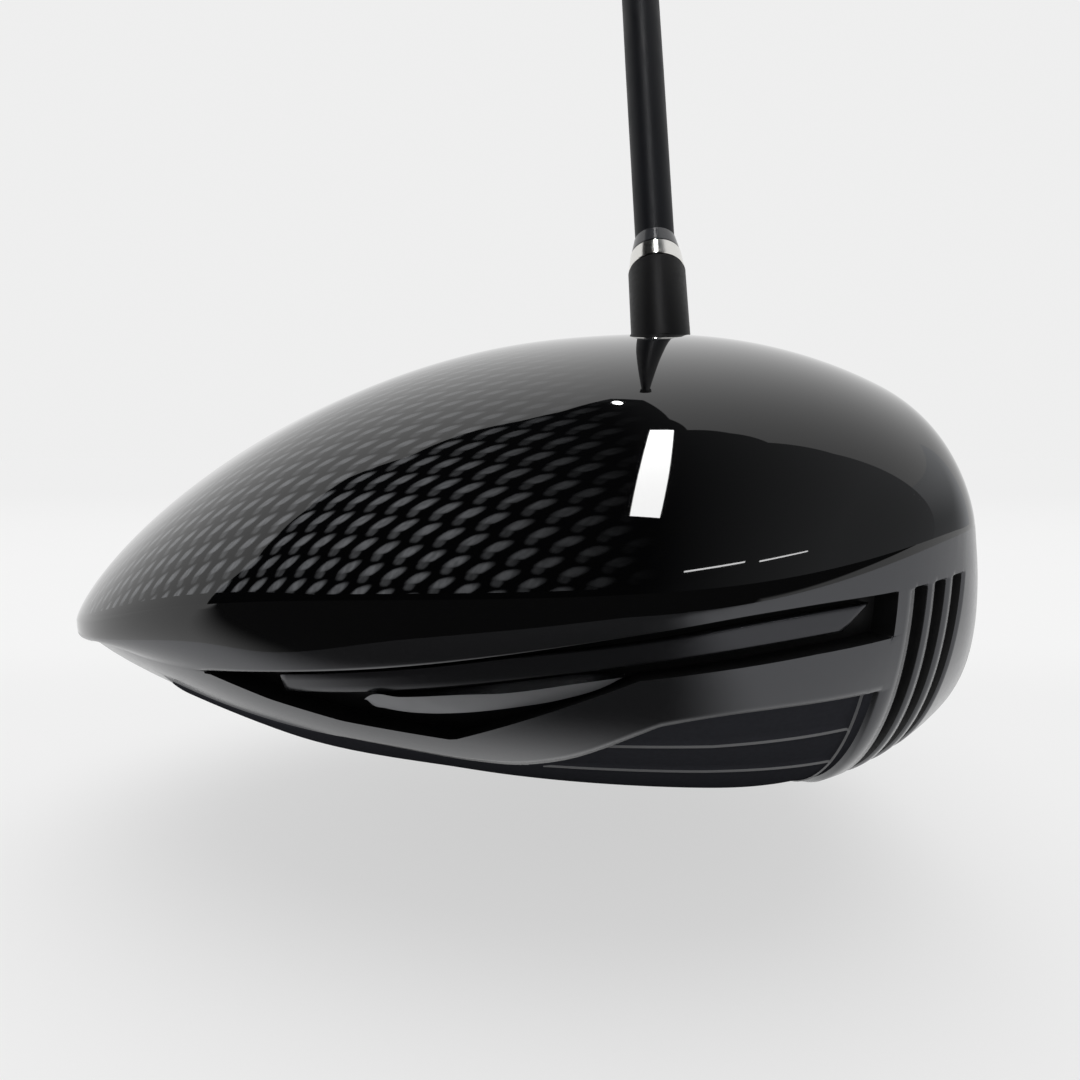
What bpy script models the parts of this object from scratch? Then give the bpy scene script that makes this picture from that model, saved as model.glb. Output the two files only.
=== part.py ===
"""Right-handed golf driver in the address position.

A hollow head with a bonded crown panel, a sole panel and a face plate, a sleeve that a captive
bolt pulls into the hosel, a tapered shaft and a grip. The face looks along +X, the heel is
towards +Y, and the origin is where the sole rests on the ground.
"""

import math

import bmesh
import bpy
import numpy as np
from mathutils import Matrix, Vector

MM = 0.001
GAP = 0.35 * MM  # between neighbouring pieces, for glue, weld or running clearance

# Head: stations of its rim, from the middle of the face past the toe, the tail and the heel.
# Each has x, y and z in millimetres, how full the crown and the sole are above and below it,
# and how far down the crown panel reaches there, as a share of the arc from the apex to the rim.
RIM_STATIONS = np.array(
    [
        (42.0, 0.0, 30.5, 1.73, 1.70, 0.34),
        (26.5, -43.8, 37.6, 1.79, 2.39, 0.62),
        (-5.0, -62.0, 31.5, 2.35, 1.70, 0.955),
        (-50.0, -50.0, 29.5, 1.78, 1.70, 0.955),
        (-77.0, -28.0, 24.2, 1.36, 1.30, 0.945),
        (-87.0, 2.0, 22.5, 1.31, 1.50, 0.93),
        (-77.0, 31.0, 24.7, 1.41, 1.35, 0.945),
        (-50.0, 51.0, 29.5, 1.78, 1.70, 0.945),
        (-5.0, 62.0, 31.5, 2.09, 1.75, 0.60),
        (30.0, 43.0, 37.6, 1.945, 2.20, 0.38),
    ]
)
PANEL_REACH_LIMIT = 0.965  # so that the crown panel's edge keeps clear of the rim
APEX = np.array((-8.3, 5.5, 61.6)) * MM
SOLE_POLE = np.array((0.0, 0.0, -1.0)) * MM
CROWN_RADIUS = 45 * MM  # of a crown meridian, roughly, to turn widths into angles
CROWN_PLAN_POWER = 2.0
SOLE_PLAN_POWER = 2.05

# Face: a lofted surface with bulge and roll
FACE_X = 29.7 * MM
FACE_Z = 28.0 * MM
LOFT = math.radians(10.25)
BULGE_RADIUS = 305 * MM
ROLL_RADIUS = 305 * MM
FACE_EDGE_FILLET = 4.5 * MM
FACE_PLATE_THICKNESS = 3.0 * MM
FACE_PLATE_HALF_WIDTH = 41.0 * MM
FACE_PLATE_HALF_HEIGHT = 17.5 * MM
FACE_PLATE_POWER = 2.4  # of the superellipse that bounds the plate
FACE_PLATE_POINTS = 40
FACE_SPAN = (15 * MM, 45 * MM)  # in x, from behind the plate to ahead of the face

# Walls and shells of the head, as depths under the outer skin
WALL = 4.0 * MM
LINING_DEPTH = 1.2 * MM  # where bosses inside the head stop, short of the skin
CROWN_PANEL_THICKNESS = 1.0 * MM
CROWN_LEDGE_REACH = 0.17  # width of the bonding ledge, as a share like the panel's
RECESS_DEPTH = 2.4 * MM
RAIL_DEPTH = 1.0 * MM
TRIM_DEPTHS = (0.5 * MM, RECESS_DEPTH - GAP)
SOLE_PANEL_DEPTHS = (0.8 * MM, 2.0 * MM)
SLOT_DEPTH = 1.5 * MM

# Side recess, rail and bright insert: outlines seen from the toe, in x and z
FRONT_COLLAR_X = 11.8
RECESS_TIP = (-58.0, 21.4)
RECESS_CORNER = (-30.0, 15.5)
RECESS_KNEE = (-12.0, 24.1)
RECESS_TOP = ((-7.0, 29.9), (-37.0, 24.1))
RECESS_END_Z = (27.7, 32.2)
HEEL_RECESS_END = -8.0  # short of the hosel
RAIL_SETBACK = 2.8
RAIL_END_SLANT = 2.8
RAIL_GROOVE = 0.7
RAIL_LOW = ((-48.5, 20.9), (-22.9, 24.3))
RAIL_TOP = (-19.0, 26.7)
TRIM_TAIL = (-38.2, 19.4)
TRIM_LOW = ((-32.0, 18.1), (-20.0, 20.75))
TRIM_NOSE = (-13.5, 24.3)
TRIM_TOP = ((-19.0, 22.8), (-28.0, 21.4))
SIDE_REACH = (20 * MM, 75 * MM)  # in y, from inside the head to outside it

# Sole panel: its upper edge seen from the toe, in x and z, and its outline from below, in x and y
PANEL_EDGE_TAIL = ((-76.0, 23.0), (-59.5, 16.7), (-48.0, 14.5), (-36.0, 12.9), (-28.0, 11.9))
PANEL_EDGE_FRONT = ((-23.5, 11.9), (-19.0, 13.3), (-9.0, 19.3), (FRONT_COLLAR_X, 22.3))
PANEL_FOOT_Z = -5.0
PANEL_TOP_Z = 25.0
PANEL_TAIL = (-72.0, 20.0)
PANEL_SIDE = (-50.0, 58.0)
PANEL_FRONT_X = FRONT_COLLAR_X + 5.0
PANEL_HEEL_CORNER = ((FRONT_COLLAR_X, 17.0), (-10.0, 36.0), (-28.0, 58.0))  # round the bolt port
TERRACE_HEIGHTS = (11.2 * MM, 15.6 * MM)
TERRACE_STEP = 0.4 * MM
BEYOND = 100 * MM  # past the head on any side

# Slots across the front collar
SLOT_XS = (14.6 * MM, 17.4 * MM, 20.2 * MM)
SLOT_WIDTH = 1.9 * MM
SLOT_TOP = 33.0 * MM

# Shaft axis: it leaves the ground at SHAFT_FOOT. Stations below are lengths along it from there.
LIE = math.radians(59.0)
SHAFT_FOOT = Vector((4.45, 32.0, 0.0)) * MM
CLUB_LENGTH = 1156 * MM
HOSEL_RADIUS = 6.45 * MM
HOSEL_TOP = 77 * MM
HOSEL_FOOT_RADIUS = 7.65 * MM
HOSEL_FOOT_TOP = 46 * MM
NECK_FOOT = 40 * MM
FLARE = ((6.0 * MM, 61 * MM), (7.0 * MM, 54 * MM), (8.4 * MM, 48 * MM), (9.8 * MM, 43 * MM))
FLARE_OFFSET = 3.0 * MM  # of the neck's flare, towards the crown
SLEEVE_FOOT = 31 * MM
SLEEVE_RADIUS = 5.4 * MM
COLLAR_TOP = 99.5 * MM
COLLAR_EDGE = 0.4 * MM  # chamfer at the collar's top
RING_TOP = 104.2 * MM
RING_RADII = (6.3 * MM, 5.75 * MM)  # at its foot and its top
FERRULE_TOP = 108.6 * MM
FERRULE_RADII = (5.6 * MM, 4.8 * MM)
GLUE = 0.15 * MM  # between the shaft's tip and the pieces on it
SHAFT_TIP = 48 * MM
SHAFT_TAPER = ((100 * MM, 4.45 * MM), (165 * MM, 4.85 * MM), (1100 * MM, 7.6 * MM))  # stations and radii
SHAFT_BUTT = 1149 * MM
SHAFT_WALL = 1.1 * MM
TAPE_THICKNESS = 0.4 * MM
TAPE_SPAN = (890 * MM, 1147 * MM)
GRIP_MOUTH = 886 * MM
GRIP_MOUTH_EDGE = (0.7 * MM, 2.0 * MM)  # how far the rubber narrows at the mouth, and over what length
GRIP_TAPER = ((GRIP_MOUTH, 9.3 * MM), (1020 * MM, 11.2 * MM), (1129 * MM, 12.7 * MM))
GRIP_BUTT_RADIUS = 13.2 * MM
CAP_FLAT_RADIUS = 9.0 * MM
CAP_ROUND = ((12.0 * MM, 1.2 * MM), (GRIP_BUTT_RADIUS, 4.0 * MM))  # radii, and depths below the end
CAP_PLUG = 8 * MM

# Captive bolt under the sleeve
BOLT_RADIUS = 2.5 * MM
BOLT_HEAD_RADIUS = 4.0 * MM
BOLT_HEAD = (17.5 * MM, 22.0 * MM)
BOLT_TOP = 44 * MM
WASHER = (22.3 * MM, 23.1 * MM)
BOLT_SEAT = 23.4 * MM
SEAT_TOP = 26.5 * MM
RETAINER = (26.8 * MM, 27.8 * MM)
PORT_RADIUS = 4.6 * MM
RETAINER_RADIUS = 4.1 * MM

# Rear weight, in a pocket square to the sole near the tail
WEIGHT_PLACE = Vector((-60.0, 0.0, 8.7)) * MM
WEIGHT_TILT = math.radians(18.0)
WEIGHT_LENGTH = 26 * MM
WEIGHT_WIDTH = 13 * MM
WEIGHT_THICKNESS = 6.0 * MM
SCREW_HEAD_RADIUS = 4.0 * MM
SCREW_HEAD = (0.7 * MM, 3.0 * MM)
SCREW_END = 12.0 * MM
BOSS_SPAN = (1 * MM, 14 * MM)
BOSS_WALL = 2.5 * MM

# Fineness of the mesh
COLUMNS = 50
SOLE_ROWS = 11
BAND_ROWS = 4
CROWN_ROWS = 9
INNER_ROWS = 7
TURN_STEPS = 24
ARC_POINTS = 9
AXIS_MARK = 20 * MM  # size of the empties


def clear_scene():
    for old in list(bpy.data.objects):
        bpy.data.objects.remove(old, do_unlink=True)


def new_collection(name):
    collection = bpy.data.collections.new(name)
    bpy.context.scene.collection.children.link(collection)
    return collection


clear_scene()
PARTS = new_collection("golf_driver")
CUTTERS = new_collection("cutters")


def add_empty(name, place, rotation):
    """An empty on an axis, which carries the pieces that are turned about it."""
    empty = bpy.data.objects.new(name, None)
    empty.location = place
    empty.rotation_euler = rotation
    empty.empty_display_size = AXIS_MARK
    PARTS.objects.link(empty)
    return empty


def add_cutter(name, mesh, parent=None):
    cutter = bpy.data.objects.new(name, mesh)
    cutter.parent = parent
    cutter.hide_render = True
    cutter.display_type = "WIRE"
    CUTTERS.objects.link(cutter)
    return cutter


def add_part(name, mesh, finish, parent=None):
    part = bpy.data.objects.new(name, mesh)
    part.parent = parent
    mesh.materials.clear()
    mesh.materials.append(finish)
    PARTS.objects.link(part)
    return part


def make_finish(name, colour, roughness, metallic=0.0):
    finish = bpy.data.materials.new(name)
    finish.use_nodes = True
    shader = finish.node_tree.nodes["Principled BSDF"]
    shader.inputs["Base Color"].default_value = (*colour, 1.0)
    shader.inputs["Roughness"].default_value = roughness
    shader.inputs["Metallic"].default_value = metallic
    return finish


def shade(mesh, angle=30):
    mesh.shade_smooth()
    mesh.set_sharp_from_angle(angle=math.radians(angle))
    return mesh


def combine(target, operation, *others):
    """Boolean modifiers on the target, one for each other object."""
    for other in others:
        modifier = target.modifiers.new(f"{operation.title()} {other.name}", "BOOLEAN")
        modifier.operation = operation
        modifier.solver = "EXACT"
        modifier.object = other
    return target


def closed_spline(stations, count):
    """Rows evenly spaced along the smooth closed curve through the stations."""
    size = len(stations)
    unit = np.eye(size)
    weights = (4 * unit + np.roll(unit, 1, axis=0) + np.roll(unit, -1, axis=0)) / 6
    knots = np.linalg.solve(weights, stations)
    place = np.arange(count) * size / count
    index = place.astype(int)
    u = (place - index)[:, None]
    basis = ((1 - u) ** 3, 3 * u**3 - 6 * u**2 + 4, 1 + 3 * u + 3 * u**2 - 3 * u**3, u**3)
    return sum(b / 6 * knots[(index + k - 1) % size] for k, b in enumerate(basis))


RIM = closed_spline(RIM_STATIONS, COLUMNS)
RIM_XYZ = RIM[:, :3] * MM
CROWN_FULLNESS, SOLE_FULLNESS = RIM[:, 3], RIM[:, 4]
PANEL_ANGLE = np.minimum(RIM[:, 5], PANEL_REACH_LIMIT) * math.pi / 2


def behind_face(points, depth):
    """The points, with those in front of the face surface brought back onto it, round a soft edge."""
    x, y, z = points.T
    rise = z - FACE_Z
    face = FACE_X - depth - y**2 / (2 * BULGE_RADIUS) - rise * math.tan(LOFT) - rise**2 / (2 * ROLL_RADIUS)
    behind = face - x
    soft = (behind + FACE_EDGE_FILLET) ** 2 / (4 * FACE_EDGE_FILLET)
    kept = np.where(behind > FACE_EDGE_FILLET, behind, np.where(behind < -FACE_EDGE_FILLET, 0.0, soft))
    return np.column_stack((face - kept, y, z))


def head_ring(side, angle, depth=0.0):
    """One ring round the head under its skin: angle 0 is the pole of that side, a right angle the rim."""
    if side == "crown":
        pole, power, fullness, inward = APEX, CROWN_PLAN_POWER, CROWN_FULLNESS, -depth
    else:
        pole, power, fullness, inward = SOLE_POLE, SOLE_PLAN_POWER, SOLE_FULLNESS, depth
    angle = np.broadcast_to(angle, COLUMNS)
    rim_xy = RIM_XYZ[:, :2] * (1 - depth / np.linalg.norm(RIM_XYZ[:, :2], axis=1))[:, None]
    reach = np.sin(angle) ** (2 / power)
    rise = np.clip(np.cos(angle), 0, 1) ** (2 / fullness)
    xy = pole[:2] + (rim_xy - pole[:2]) * reach[:, None]
    z = RIM_XYZ[:, 2] + (pole[2] + inward - RIM_XYZ[:, 2]) * rise
    return behind_face(np.column_stack((xy, z)), depth)


def loft(name, rings):
    """Closed mesh through rings round the head. A ring that shrinks to a point closes an end."""
    bm = bmesh.new()
    rows = [[bm.verts.new(point) for point in ring] for ring in rings]
    for row, following in zip(rows, rows[1:]):
        for i in range(COLUMNS):
            j = (i + 1) % COLUMNS
            bm.faces.new((row[i], row[j], following[j], following[i]))
    bmesh.ops.remove_doubles(bm, verts=bm.verts, dist=0.001 * MM)
    bmesh.ops.recalc_face_normals(bm, faces=bm.faces)
    mesh = bpy.data.meshes.new(name)
    bm.to_mesh(mesh)
    bm.free()
    return shade(mesh)


def head_core(name, depth):
    """The head as a solid, cut down by a depth all over."""
    rim = math.pi / 2
    rings = [head_ring("sole", angle, depth) for angle in np.linspace(0, rim, SOLE_ROWS)]
    rings += [head_ring("crown", angle, depth) for angle in np.linspace(rim, 0, CROWN_ROWS)[1:]]
    return add_cutter(name, loft(name, rings))


PLANES = {
    "x": Matrix(((0, 0, 1), (1, 0, 0), (0, 1, 0))),
    "y": Matrix(((1, 0, 0), (0, 0, -1), (0, 1, 0))),
    "z": Matrix.Identity(3),
}


def prism(name, outline, facing, span, grow=0.0, smooth=()):
    """Mesh of an outline in millimetres, counter-clockwise in the plane that faces an axis, over a span.

    The points whose numbers are in smooth are rounded into a curve, and the others are corners.
    """
    curve = bpy.data.curves.new(name, "CURVE")
    curve.dimensions = "2D"
    curve.fill_mode = "BOTH"
    curve.resolution_u = 5
    curve.offset = grow
    curve.extrude = (span[1] - span[0]) / 2
    spline = curve.splines.new("BEZIER")
    spline.bezier_points.add(len(outline) - 1)
    spline.use_cyclic_u = True
    for number, (point, (across, up)) in enumerate(zip(spline.bezier_points, outline)):
        point.co = (across * MM, up * MM, 0)
        point.handle_left_type = point.handle_right_type = "AUTO" if number in smooth else "VECTOR"
    drawing = bpy.data.objects.new(name, curve)
    CUTTERS.objects.link(drawing)
    mesh = bpy.data.meshes.new_from_object(drawing.evaluated_get(bpy.context.evaluated_depsgraph_get()))
    bpy.data.objects.remove(drawing)
    bm = bmesh.new()
    bm.from_mesh(mesh)
    bmesh.ops.remove_doubles(bm, verts=bm.verts, dist=0.001 * MM)
    bmesh.ops.recalc_face_normals(bm, faces=bm.faces)
    turn = PLANES[facing].to_4x4()
    middle = PLANES[facing] @ Vector((0, 0, 1)) * (sum(span) / 2)
    if facing == "y":
        middle = -middle
    bm.transform(Matrix.Translation(middle) @ turn)
    bm.to_mesh(mesh)
    bm.free()
    mesh.name = name
    return mesh


def box(name, low, high):
    bm = bmesh.new()
    bmesh.ops.create_cube(bm, size=1.0)
    size = Vector(high) - Vector(low)
    bmesh.ops.scale(bm, vec=size, verts=bm.verts)
    bmesh.ops.translate(bm, vec=Vector(low) + size / 2, verts=bm.verts)
    mesh = bpy.data.meshes.new(name)
    bm.to_mesh(mesh)
    bm.free()
    return mesh


def turned(name, profile, parent, finish=None, closed=True):
    """A turned piece or cutter: radii and heights down its outer side and, where hollow, up its bore."""
    mesh = bpy.data.meshes.new(name)
    count = len(profile)
    edges = [(i, (i + 1) % count) for i in range(count if closed else count - 1)]
    mesh.from_pydata([(radius, 0, height) for radius, height in profile], edges, [])
    if finish is None:
        piece = add_cutter(name, mesh, parent)
    else:
        piece = add_part(name, mesh, finish, parent)
    screw = piece.modifiers.new("Turn", "SCREW")
    screw.steps = screw.render_steps = TURN_STEPS
    screw.use_merge_vertices = True
    screw.merge_threshold = 0.01 * MM
    screw.use_smooth_shade = True
    return piece


def cylinder(name, radius, low, high, parent):
    return turned(name, [(0, high), (radius, high), (radius, low), (0, low)], parent, closed=False)


def stadium(length, width):
    """Outline in millimetres of a slot along y with round ends."""
    radius = width / 2
    middle = (length - width) / 2
    sweep = np.linspace(0, math.pi, ARC_POINTS)
    upper = [(radius * math.cos(a), middle + radius * math.sin(a)) for a in sweep]
    return [(x / MM, y / MM) for x, y in upper + [(-x, -y) for x, y in upper]]


SHAFT_AXIS = add_empty("shaft_axis", SHAFT_FOOT, (LIE - math.pi / 2, 0, 0))
WEIGHT_AXIS = add_empty("weight_axis", WEIGHT_PLACE, (0, WEIGHT_TILT, 0))

SATIN_GREY = make_finish("satin_grey", (0.06, 0.06, 0.07), 0.3, 0.6)
CARBON = make_finish("carbon", (0.015, 0.015, 0.018), 0.1)
FACE_METAL = make_finish("face_metal", (0.10, 0.10, 0.11), 0.35, 0.9)
SOLE_NAVY = make_finish("sole_navy", (0.035, 0.038, 0.05), 0.4)
BRIGHT = make_finish("bright", (0.8, 0.8, 0.82), 0.08, 1.0)
STEEL = make_finish("steel", (0.45, 0.45, 0.46), 0.3, 1.0)
TUNGSTEN = make_finish("tungsten", (0.22, 0.22, 0.23), 0.35, 1.0)
ANODISED = make_finish("anodised", (0.012, 0.012, 0.014), 0.12)
GREY_PLASTIC = make_finish("grey_plastic", (0.28, 0.28, 0.29), 0.3)
SHAFT_BLACK = make_finish("shaft_black", (0.012, 0.012, 0.013), 0.18)
TAPE = make_finish("tape", (0.6, 0.55, 0.42), 0.8)
RUBBER = make_finish("rubber", (0.02, 0.02, 0.021), 0.75)

WHOLE_HEAD = head_core("core_skin", 0.0)
CORE_LINING = head_core("core_lining", LINING_DEPTH)
CORE_RECESS = head_core("core_recess", RECESS_DEPTH)
CORE_RAIL = head_core("core_rail", RAIL_DEPTH)
CORE_SLOT = head_core("core_slot", SLOT_DEPTH)
CORE_TRIM_TOP = head_core("core_trim_top", TRIM_DEPTHS[0])
CORE_TRIM_FOOT = head_core("core_trim_foot", TRIM_DEPTHS[1])
CORE_PANEL_TOP = head_core("core_panel_top", SOLE_PANEL_DEPTHS[0])
CORE_PANEL_FOOT = head_core("core_panel_foot", SOLE_PANEL_DEPTHS[1])
CORE_PANEL_SEAT = head_core("core_panel_seat", SOLE_PANEL_DEPTHS[1] + GAP)
CORE_FACE_BACK = head_core("core_face_back", FACE_PLATE_THICKNESS)


def add_head_body():
    """The bowl: outer skin up to the crown joint, a bonding ledge there, and the inner skin back down."""
    rim = math.pi / 2
    joint = PANEL_ANGLE
    ledge = joint - CROWN_LEDGE_REACH * rim
    seat = CROWN_PANEL_THICKNESS + GAP
    rings = [head_ring("sole", angle) for angle in np.linspace(0, rim, SOLE_ROWS)]
    rings += [head_ring("crown", rim + (joint - rim) * share) for share in np.linspace(0, 1, BAND_ROWS)[1:]]
    rings += [head_ring("crown", joint + (ledge - joint) * share, seat) for share in (0, 0.5, 1)]
    rings += [head_ring("crown", ledge + (rim - ledge) * share, WALL) for share in (0, 0.5)]
    rings += [head_ring("sole", angle, WALL) for angle in np.linspace(rim, 0, INNER_ROWS)]
    return add_part("head_body", loft("head_body", rings), SATIN_GREY)


def add_crown_panel():
    """The panel over the ledge and everything inside it, with its rows in step with the ledge's."""
    edge = PANEL_ANGLE - GAP / CROWN_RADIUS
    inside = edge - CROWN_LEDGE_REACH * math.pi / 2
    angles = [inside * share for share in np.linspace(0, 1, CROWN_ROWS - 2)] + [(inside + edge) / 2, edge]
    rings = [head_ring("crown", angle) for angle in angles]
    rings += [head_ring("crown", angle, CROWN_PANEL_THICKNESS) for angle in reversed(angles)]
    return add_part("crown_panel", loft("crown_panel", rings), CARBON)


def recess_edges(end):
    """Heights of the lower and upper edge of a side recess where it ends."""
    share = (end - RECESS_KNEE[0]) / (FRONT_COLLAR_X - RECESS_KNEE[0])
    low = RECESS_KNEE[1] + (RECESS_END_Z[0] - RECESS_KNEE[1]) * share
    return low, np.interp(end, (RECESS_TOP[0][0], FRONT_COLLAR_X), (RECESS_TOP[0][1], RECESS_END_Z[1]))


def recess_outline(end):
    """The side recess: a wedge from the tail that ends square at the front collar."""
    low, top = recess_edges(end)
    upper_edge = [point for point in RECESS_TOP if point[0] < end]
    return [RECESS_TIP, RECESS_CORNER, RECESS_KNEE, (end, low), (end, top), *upper_edge]


def rail_outline(end):
    """The rail along the upper edge of the recess, thin at the tail and cut on a slant in front."""
    end -= RAIL_SETBACK
    top = recess_edges(end)[1] - RAIL_GROOVE
    return [*RAIL_LOW, (end - RAIL_END_SLANT, top - RAIL_END_SLANT), (end, top), RAIL_TOP]


def cut_side_recess(body, side, end):
    """Recess with its rail on one side of the head, and the bright insert that lies in it."""
    near, far = SIDE_REACH
    span = (near, far) if side == "heel" else (-far, -near)
    rail_name = f"{side}_rail"
    rail = add_cutter(rail_name, prism(rail_name, rail_outline(end), "y", span))
    combine(rail, "INTERSECT", CORE_RAIL)
    recess_name = f"{side}_recess"
    recess = add_cutter(recess_name, prism(recess_name, recess_outline(end), "y", span, smooth=(5, 6)))
    combine(recess, "DIFFERENCE", CORE_RECESS, rail)
    combine(body, "DIFFERENCE", recess)
    outline = [TRIM_TAIL, *TRIM_LOW, TRIM_NOSE, *TRIM_TOP]
    trim_name = f"{side}_trim"
    trim = add_part(trim_name, prism(trim_name, outline, "y", span, smooth=(1, 2, 4, 5)), BRIGHT)
    combine(trim, "INTERSECT", CORE_TRIM_TOP)
    combine(trim, "DIFFERENCE", CORE_TRIM_FOOT)


def cut_slots(body):
    for number, x in enumerate(SLOT_XS, 1):
        low = (x - SLOT_WIDTH / 2, -BEYOND, -BEYOND)
        high = (x + SLOT_WIDTH / 2, BEYOND, SLOT_TOP)
        slot = add_cutter(f"slot_{number}", box(f"slot_{number}", low, high))
        combine(slot, "DIFFERENCE", CORE_SLOT)
        combine(body, "DIFFERENCE", slot)


def panel_space(name, grow):
    """Everything below the sole panel's upper edge and within its outline from below."""
    edge = [*PANEL_EDGE_TAIL, *PANEL_EDGE_FRONT]
    below = [(edge[0][0], PANEL_FOOT_Z), (FRONT_COLLAR_X, PANEL_FOOT_Z), *reversed(edge)]
    side_view = add_cutter(f"{name}_edge", prism(f"{name}_edge", below, "y", (-BEYOND, BEYOND), grow))
    tail_x, tail_y = PANEL_TAIL
    side_x, side_y = PANEL_SIDE
    outline = [
        (tail_x, -tail_y),
        (side_x, -side_y),
        (PANEL_FRONT_X, -side_y),
        (PANEL_FRONT_X, PANEL_HEEL_CORNER[0][1]),
        *PANEL_HEEL_CORNER,
        (side_x, side_y),
        (tail_x, tail_y),
    ]
    height = (PANEL_FOOT_Z * MM, PANEL_TOP_Z * MM)
    plan = add_cutter(name, prism(name, outline, "z", height, grow))
    return combine(plan, "INTERSECT", side_view)


def add_sole_panel(body, pocket):
    """Panel let into the sole, terraced towards its edges and flat where the head rests."""
    seat = panel_space("panel_seat", GAP)
    combine(seat, "DIFFERENCE", CORE_PANEL_SEAT)
    combine(body, "DIFFERENCE", seat)
    space = panel_space("panel_space", 0.0)
    panel = add_part("sole_panel", space.data.copy(), SOLE_NAVY)
    combine(panel, "INTERSECT", bpy.data.objects["panel_space_edge"], CORE_PANEL_TOP)
    combine(panel, "DIFFERENCE", CORE_PANEL_FOOT)
    for number, height in enumerate(TERRACE_HEIGHTS, 1):
        low = (-BEYOND, -BEYOND, height)
        terrace = add_cutter(f"terrace_{number}", box(f"terrace_{number}", low, (BEYOND, BEYOND, BEYOND)))
        depth = SOLE_PANEL_DEPTHS[0] + number * TERRACE_STEP
        combine(terrace, "DIFFERENCE", head_core(f"core_terrace_{number}", depth))
        combine(panel, "DIFFERENCE", terrace)
    ground = add_cutter("ground", box("ground", (-BEYOND, -BEYOND, -BEYOND), (BEYOND, BEYOND, 0)))
    combine(panel, "DIFFERENCE", ground, pocket)


def add_face_plate(body):
    def squashed(value):
        return math.copysign(abs(value) ** (2 / FACE_PLATE_POWER), value)

    outline = []
    for turn in np.linspace(0, 2 * math.pi, FACE_PLATE_POINTS, endpoint=False):
        across = FACE_PLATE_HALF_WIDTH * squashed(math.cos(turn))
        up = FACE_Z + FACE_PLATE_HALF_HEIGHT * squashed(math.sin(turn))
        outline.append((across / MM, up / MM))
    opening = add_cutter("face_opening", prism("face_opening", outline, "x", FACE_SPAN, GAP))
    combine(body, "DIFFERENCE", opening)
    plate = add_part("face_plate", prism("face_plate", outline, "x", FACE_SPAN), FACE_METAL)
    combine(plate, "INTERSECT", WHOLE_HEAD)
    combine(plate, "DIFFERENCE", CORE_FACE_BACK)


def add_hosel(body):
    """Neck of the head, down to the bolt port in the sole, with its stepped bore."""
    foot = cylinder("hosel_foot", HOSEL_FOOT_RADIUS, 0, HOSEL_FOOT_TOP, SHAFT_AXIS)
    combine(foot, "INTERSECT", CORE_LINING)
    neck = cylinder("hosel_neck", HOSEL_RADIUS, NECK_FOOT, HOSEL_TOP, SHAFT_AXIS)
    flare = turned("hosel_flare", [(0, FLARE[0][1]), *FLARE, (0, FLARE[-1][1])], SHAFT_AXIS, closed=False)
    flare.location.y = -FLARE_OFFSET
    combine(body, "UNION", foot, neck, flare)
    sleeve_bore = SLEEVE_RADIUS + GAP
    bolt_bore = BOLT_RADIUS + GAP
    bore = [(0, COLLAR_TOP), (sleeve_bore, COLLAR_TOP), (sleeve_bore, SEAT_TOP), (bolt_bore, SEAT_TOP)]
    bore += [(bolt_bore, BOLT_SEAT), (PORT_RADIUS, BOLT_SEAT), (PORT_RADIUS, 0), (0, 0)]
    combine(body, "DIFFERENCE", turned("hosel_bore", bore, SHAFT_AXIS, closed=False))


def add_rear_weight(body):
    """Weight and its screw, in a pocket with a boss behind it. Returns the pocket's cutter."""
    outline = stadium(WEIGHT_LENGTH, WEIGHT_WIDTH)
    boss_mesh = prism("weight_boss", outline, "z", BOSS_SPAN, BOSS_WALL)
    boss = add_cutter("weight_boss", boss_mesh, WEIGHT_AXIS)
    combine(boss, "INTERSECT", CORE_LINING)
    pocket_span = (-BEYOND, WEIGHT_THICKNESS + GAP)
    pocket_mesh = prism("weight_pocket", outline, "z", pocket_span, GAP)
    pocket = add_cutter("weight_pocket", pocket_mesh, WEIGHT_AXIS)
    bore = BOLT_RADIUS + GAP
    thread = cylinder("weight_thread", bore, WEIGHT_THICKNESS, SCREW_END + GAP, WEIGHT_AXIS)
    combine(body, "UNION", boss)
    combine(body, "DIFFERENCE", pocket, thread)
    weight_mesh = prism("rear_weight", outline, "z", (0, WEIGHT_THICKNESS))
    weight = add_part("rear_weight", weight_mesh, TUNGSTEN, WEIGHT_AXIS)
    hole = cylinder("weight_hole", bore, -BEYOND, BEYOND, WEIGHT_AXIS)
    sink = cylinder("weight_sink", SCREW_HEAD_RADIUS + GAP, -BEYOND, SCREW_HEAD[1] + GAP, WEIGHT_AXIS)
    combine(weight, "DIFFERENCE", hole, sink)
    screw = [(0, SCREW_END), (BOLT_RADIUS, SCREW_END), (BOLT_RADIUS, SCREW_HEAD[1])]
    screw += [(SCREW_HEAD_RADIUS, SCREW_HEAD[1]), (SCREW_HEAD_RADIUS, SCREW_HEAD[0]), (0, SCREW_HEAD[0])]
    turned("rear_weight_screw", screw, WEIGHT_AXIS, STEEL, closed=False)
    return pocket


def add_bolt():
    bolt = [(0, BOLT_TOP), (BOLT_RADIUS, BOLT_TOP), (BOLT_RADIUS, BOLT_HEAD[1])]
    bolt += [(BOLT_HEAD_RADIUS, BOLT_HEAD[1]), (BOLT_HEAD_RADIUS, BOLT_HEAD[0]), (0, BOLT_HEAD[0])]
    turned("hosel_bolt", bolt, SHAFT_AXIS, STEEL, closed=False)
    bore = BOLT_RADIUS + GAP
    for name, (low, high), radius in (
        ("bolt_washer", WASHER, BOLT_HEAD_RADIUS),
        ("bolt_retainer", RETAINER, RETAINER_RADIUS),
    ):
        turned(name, [(radius, high), (radius, low), (bore, low), (bore, high)], SHAFT_AXIS, STEEL)


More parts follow.
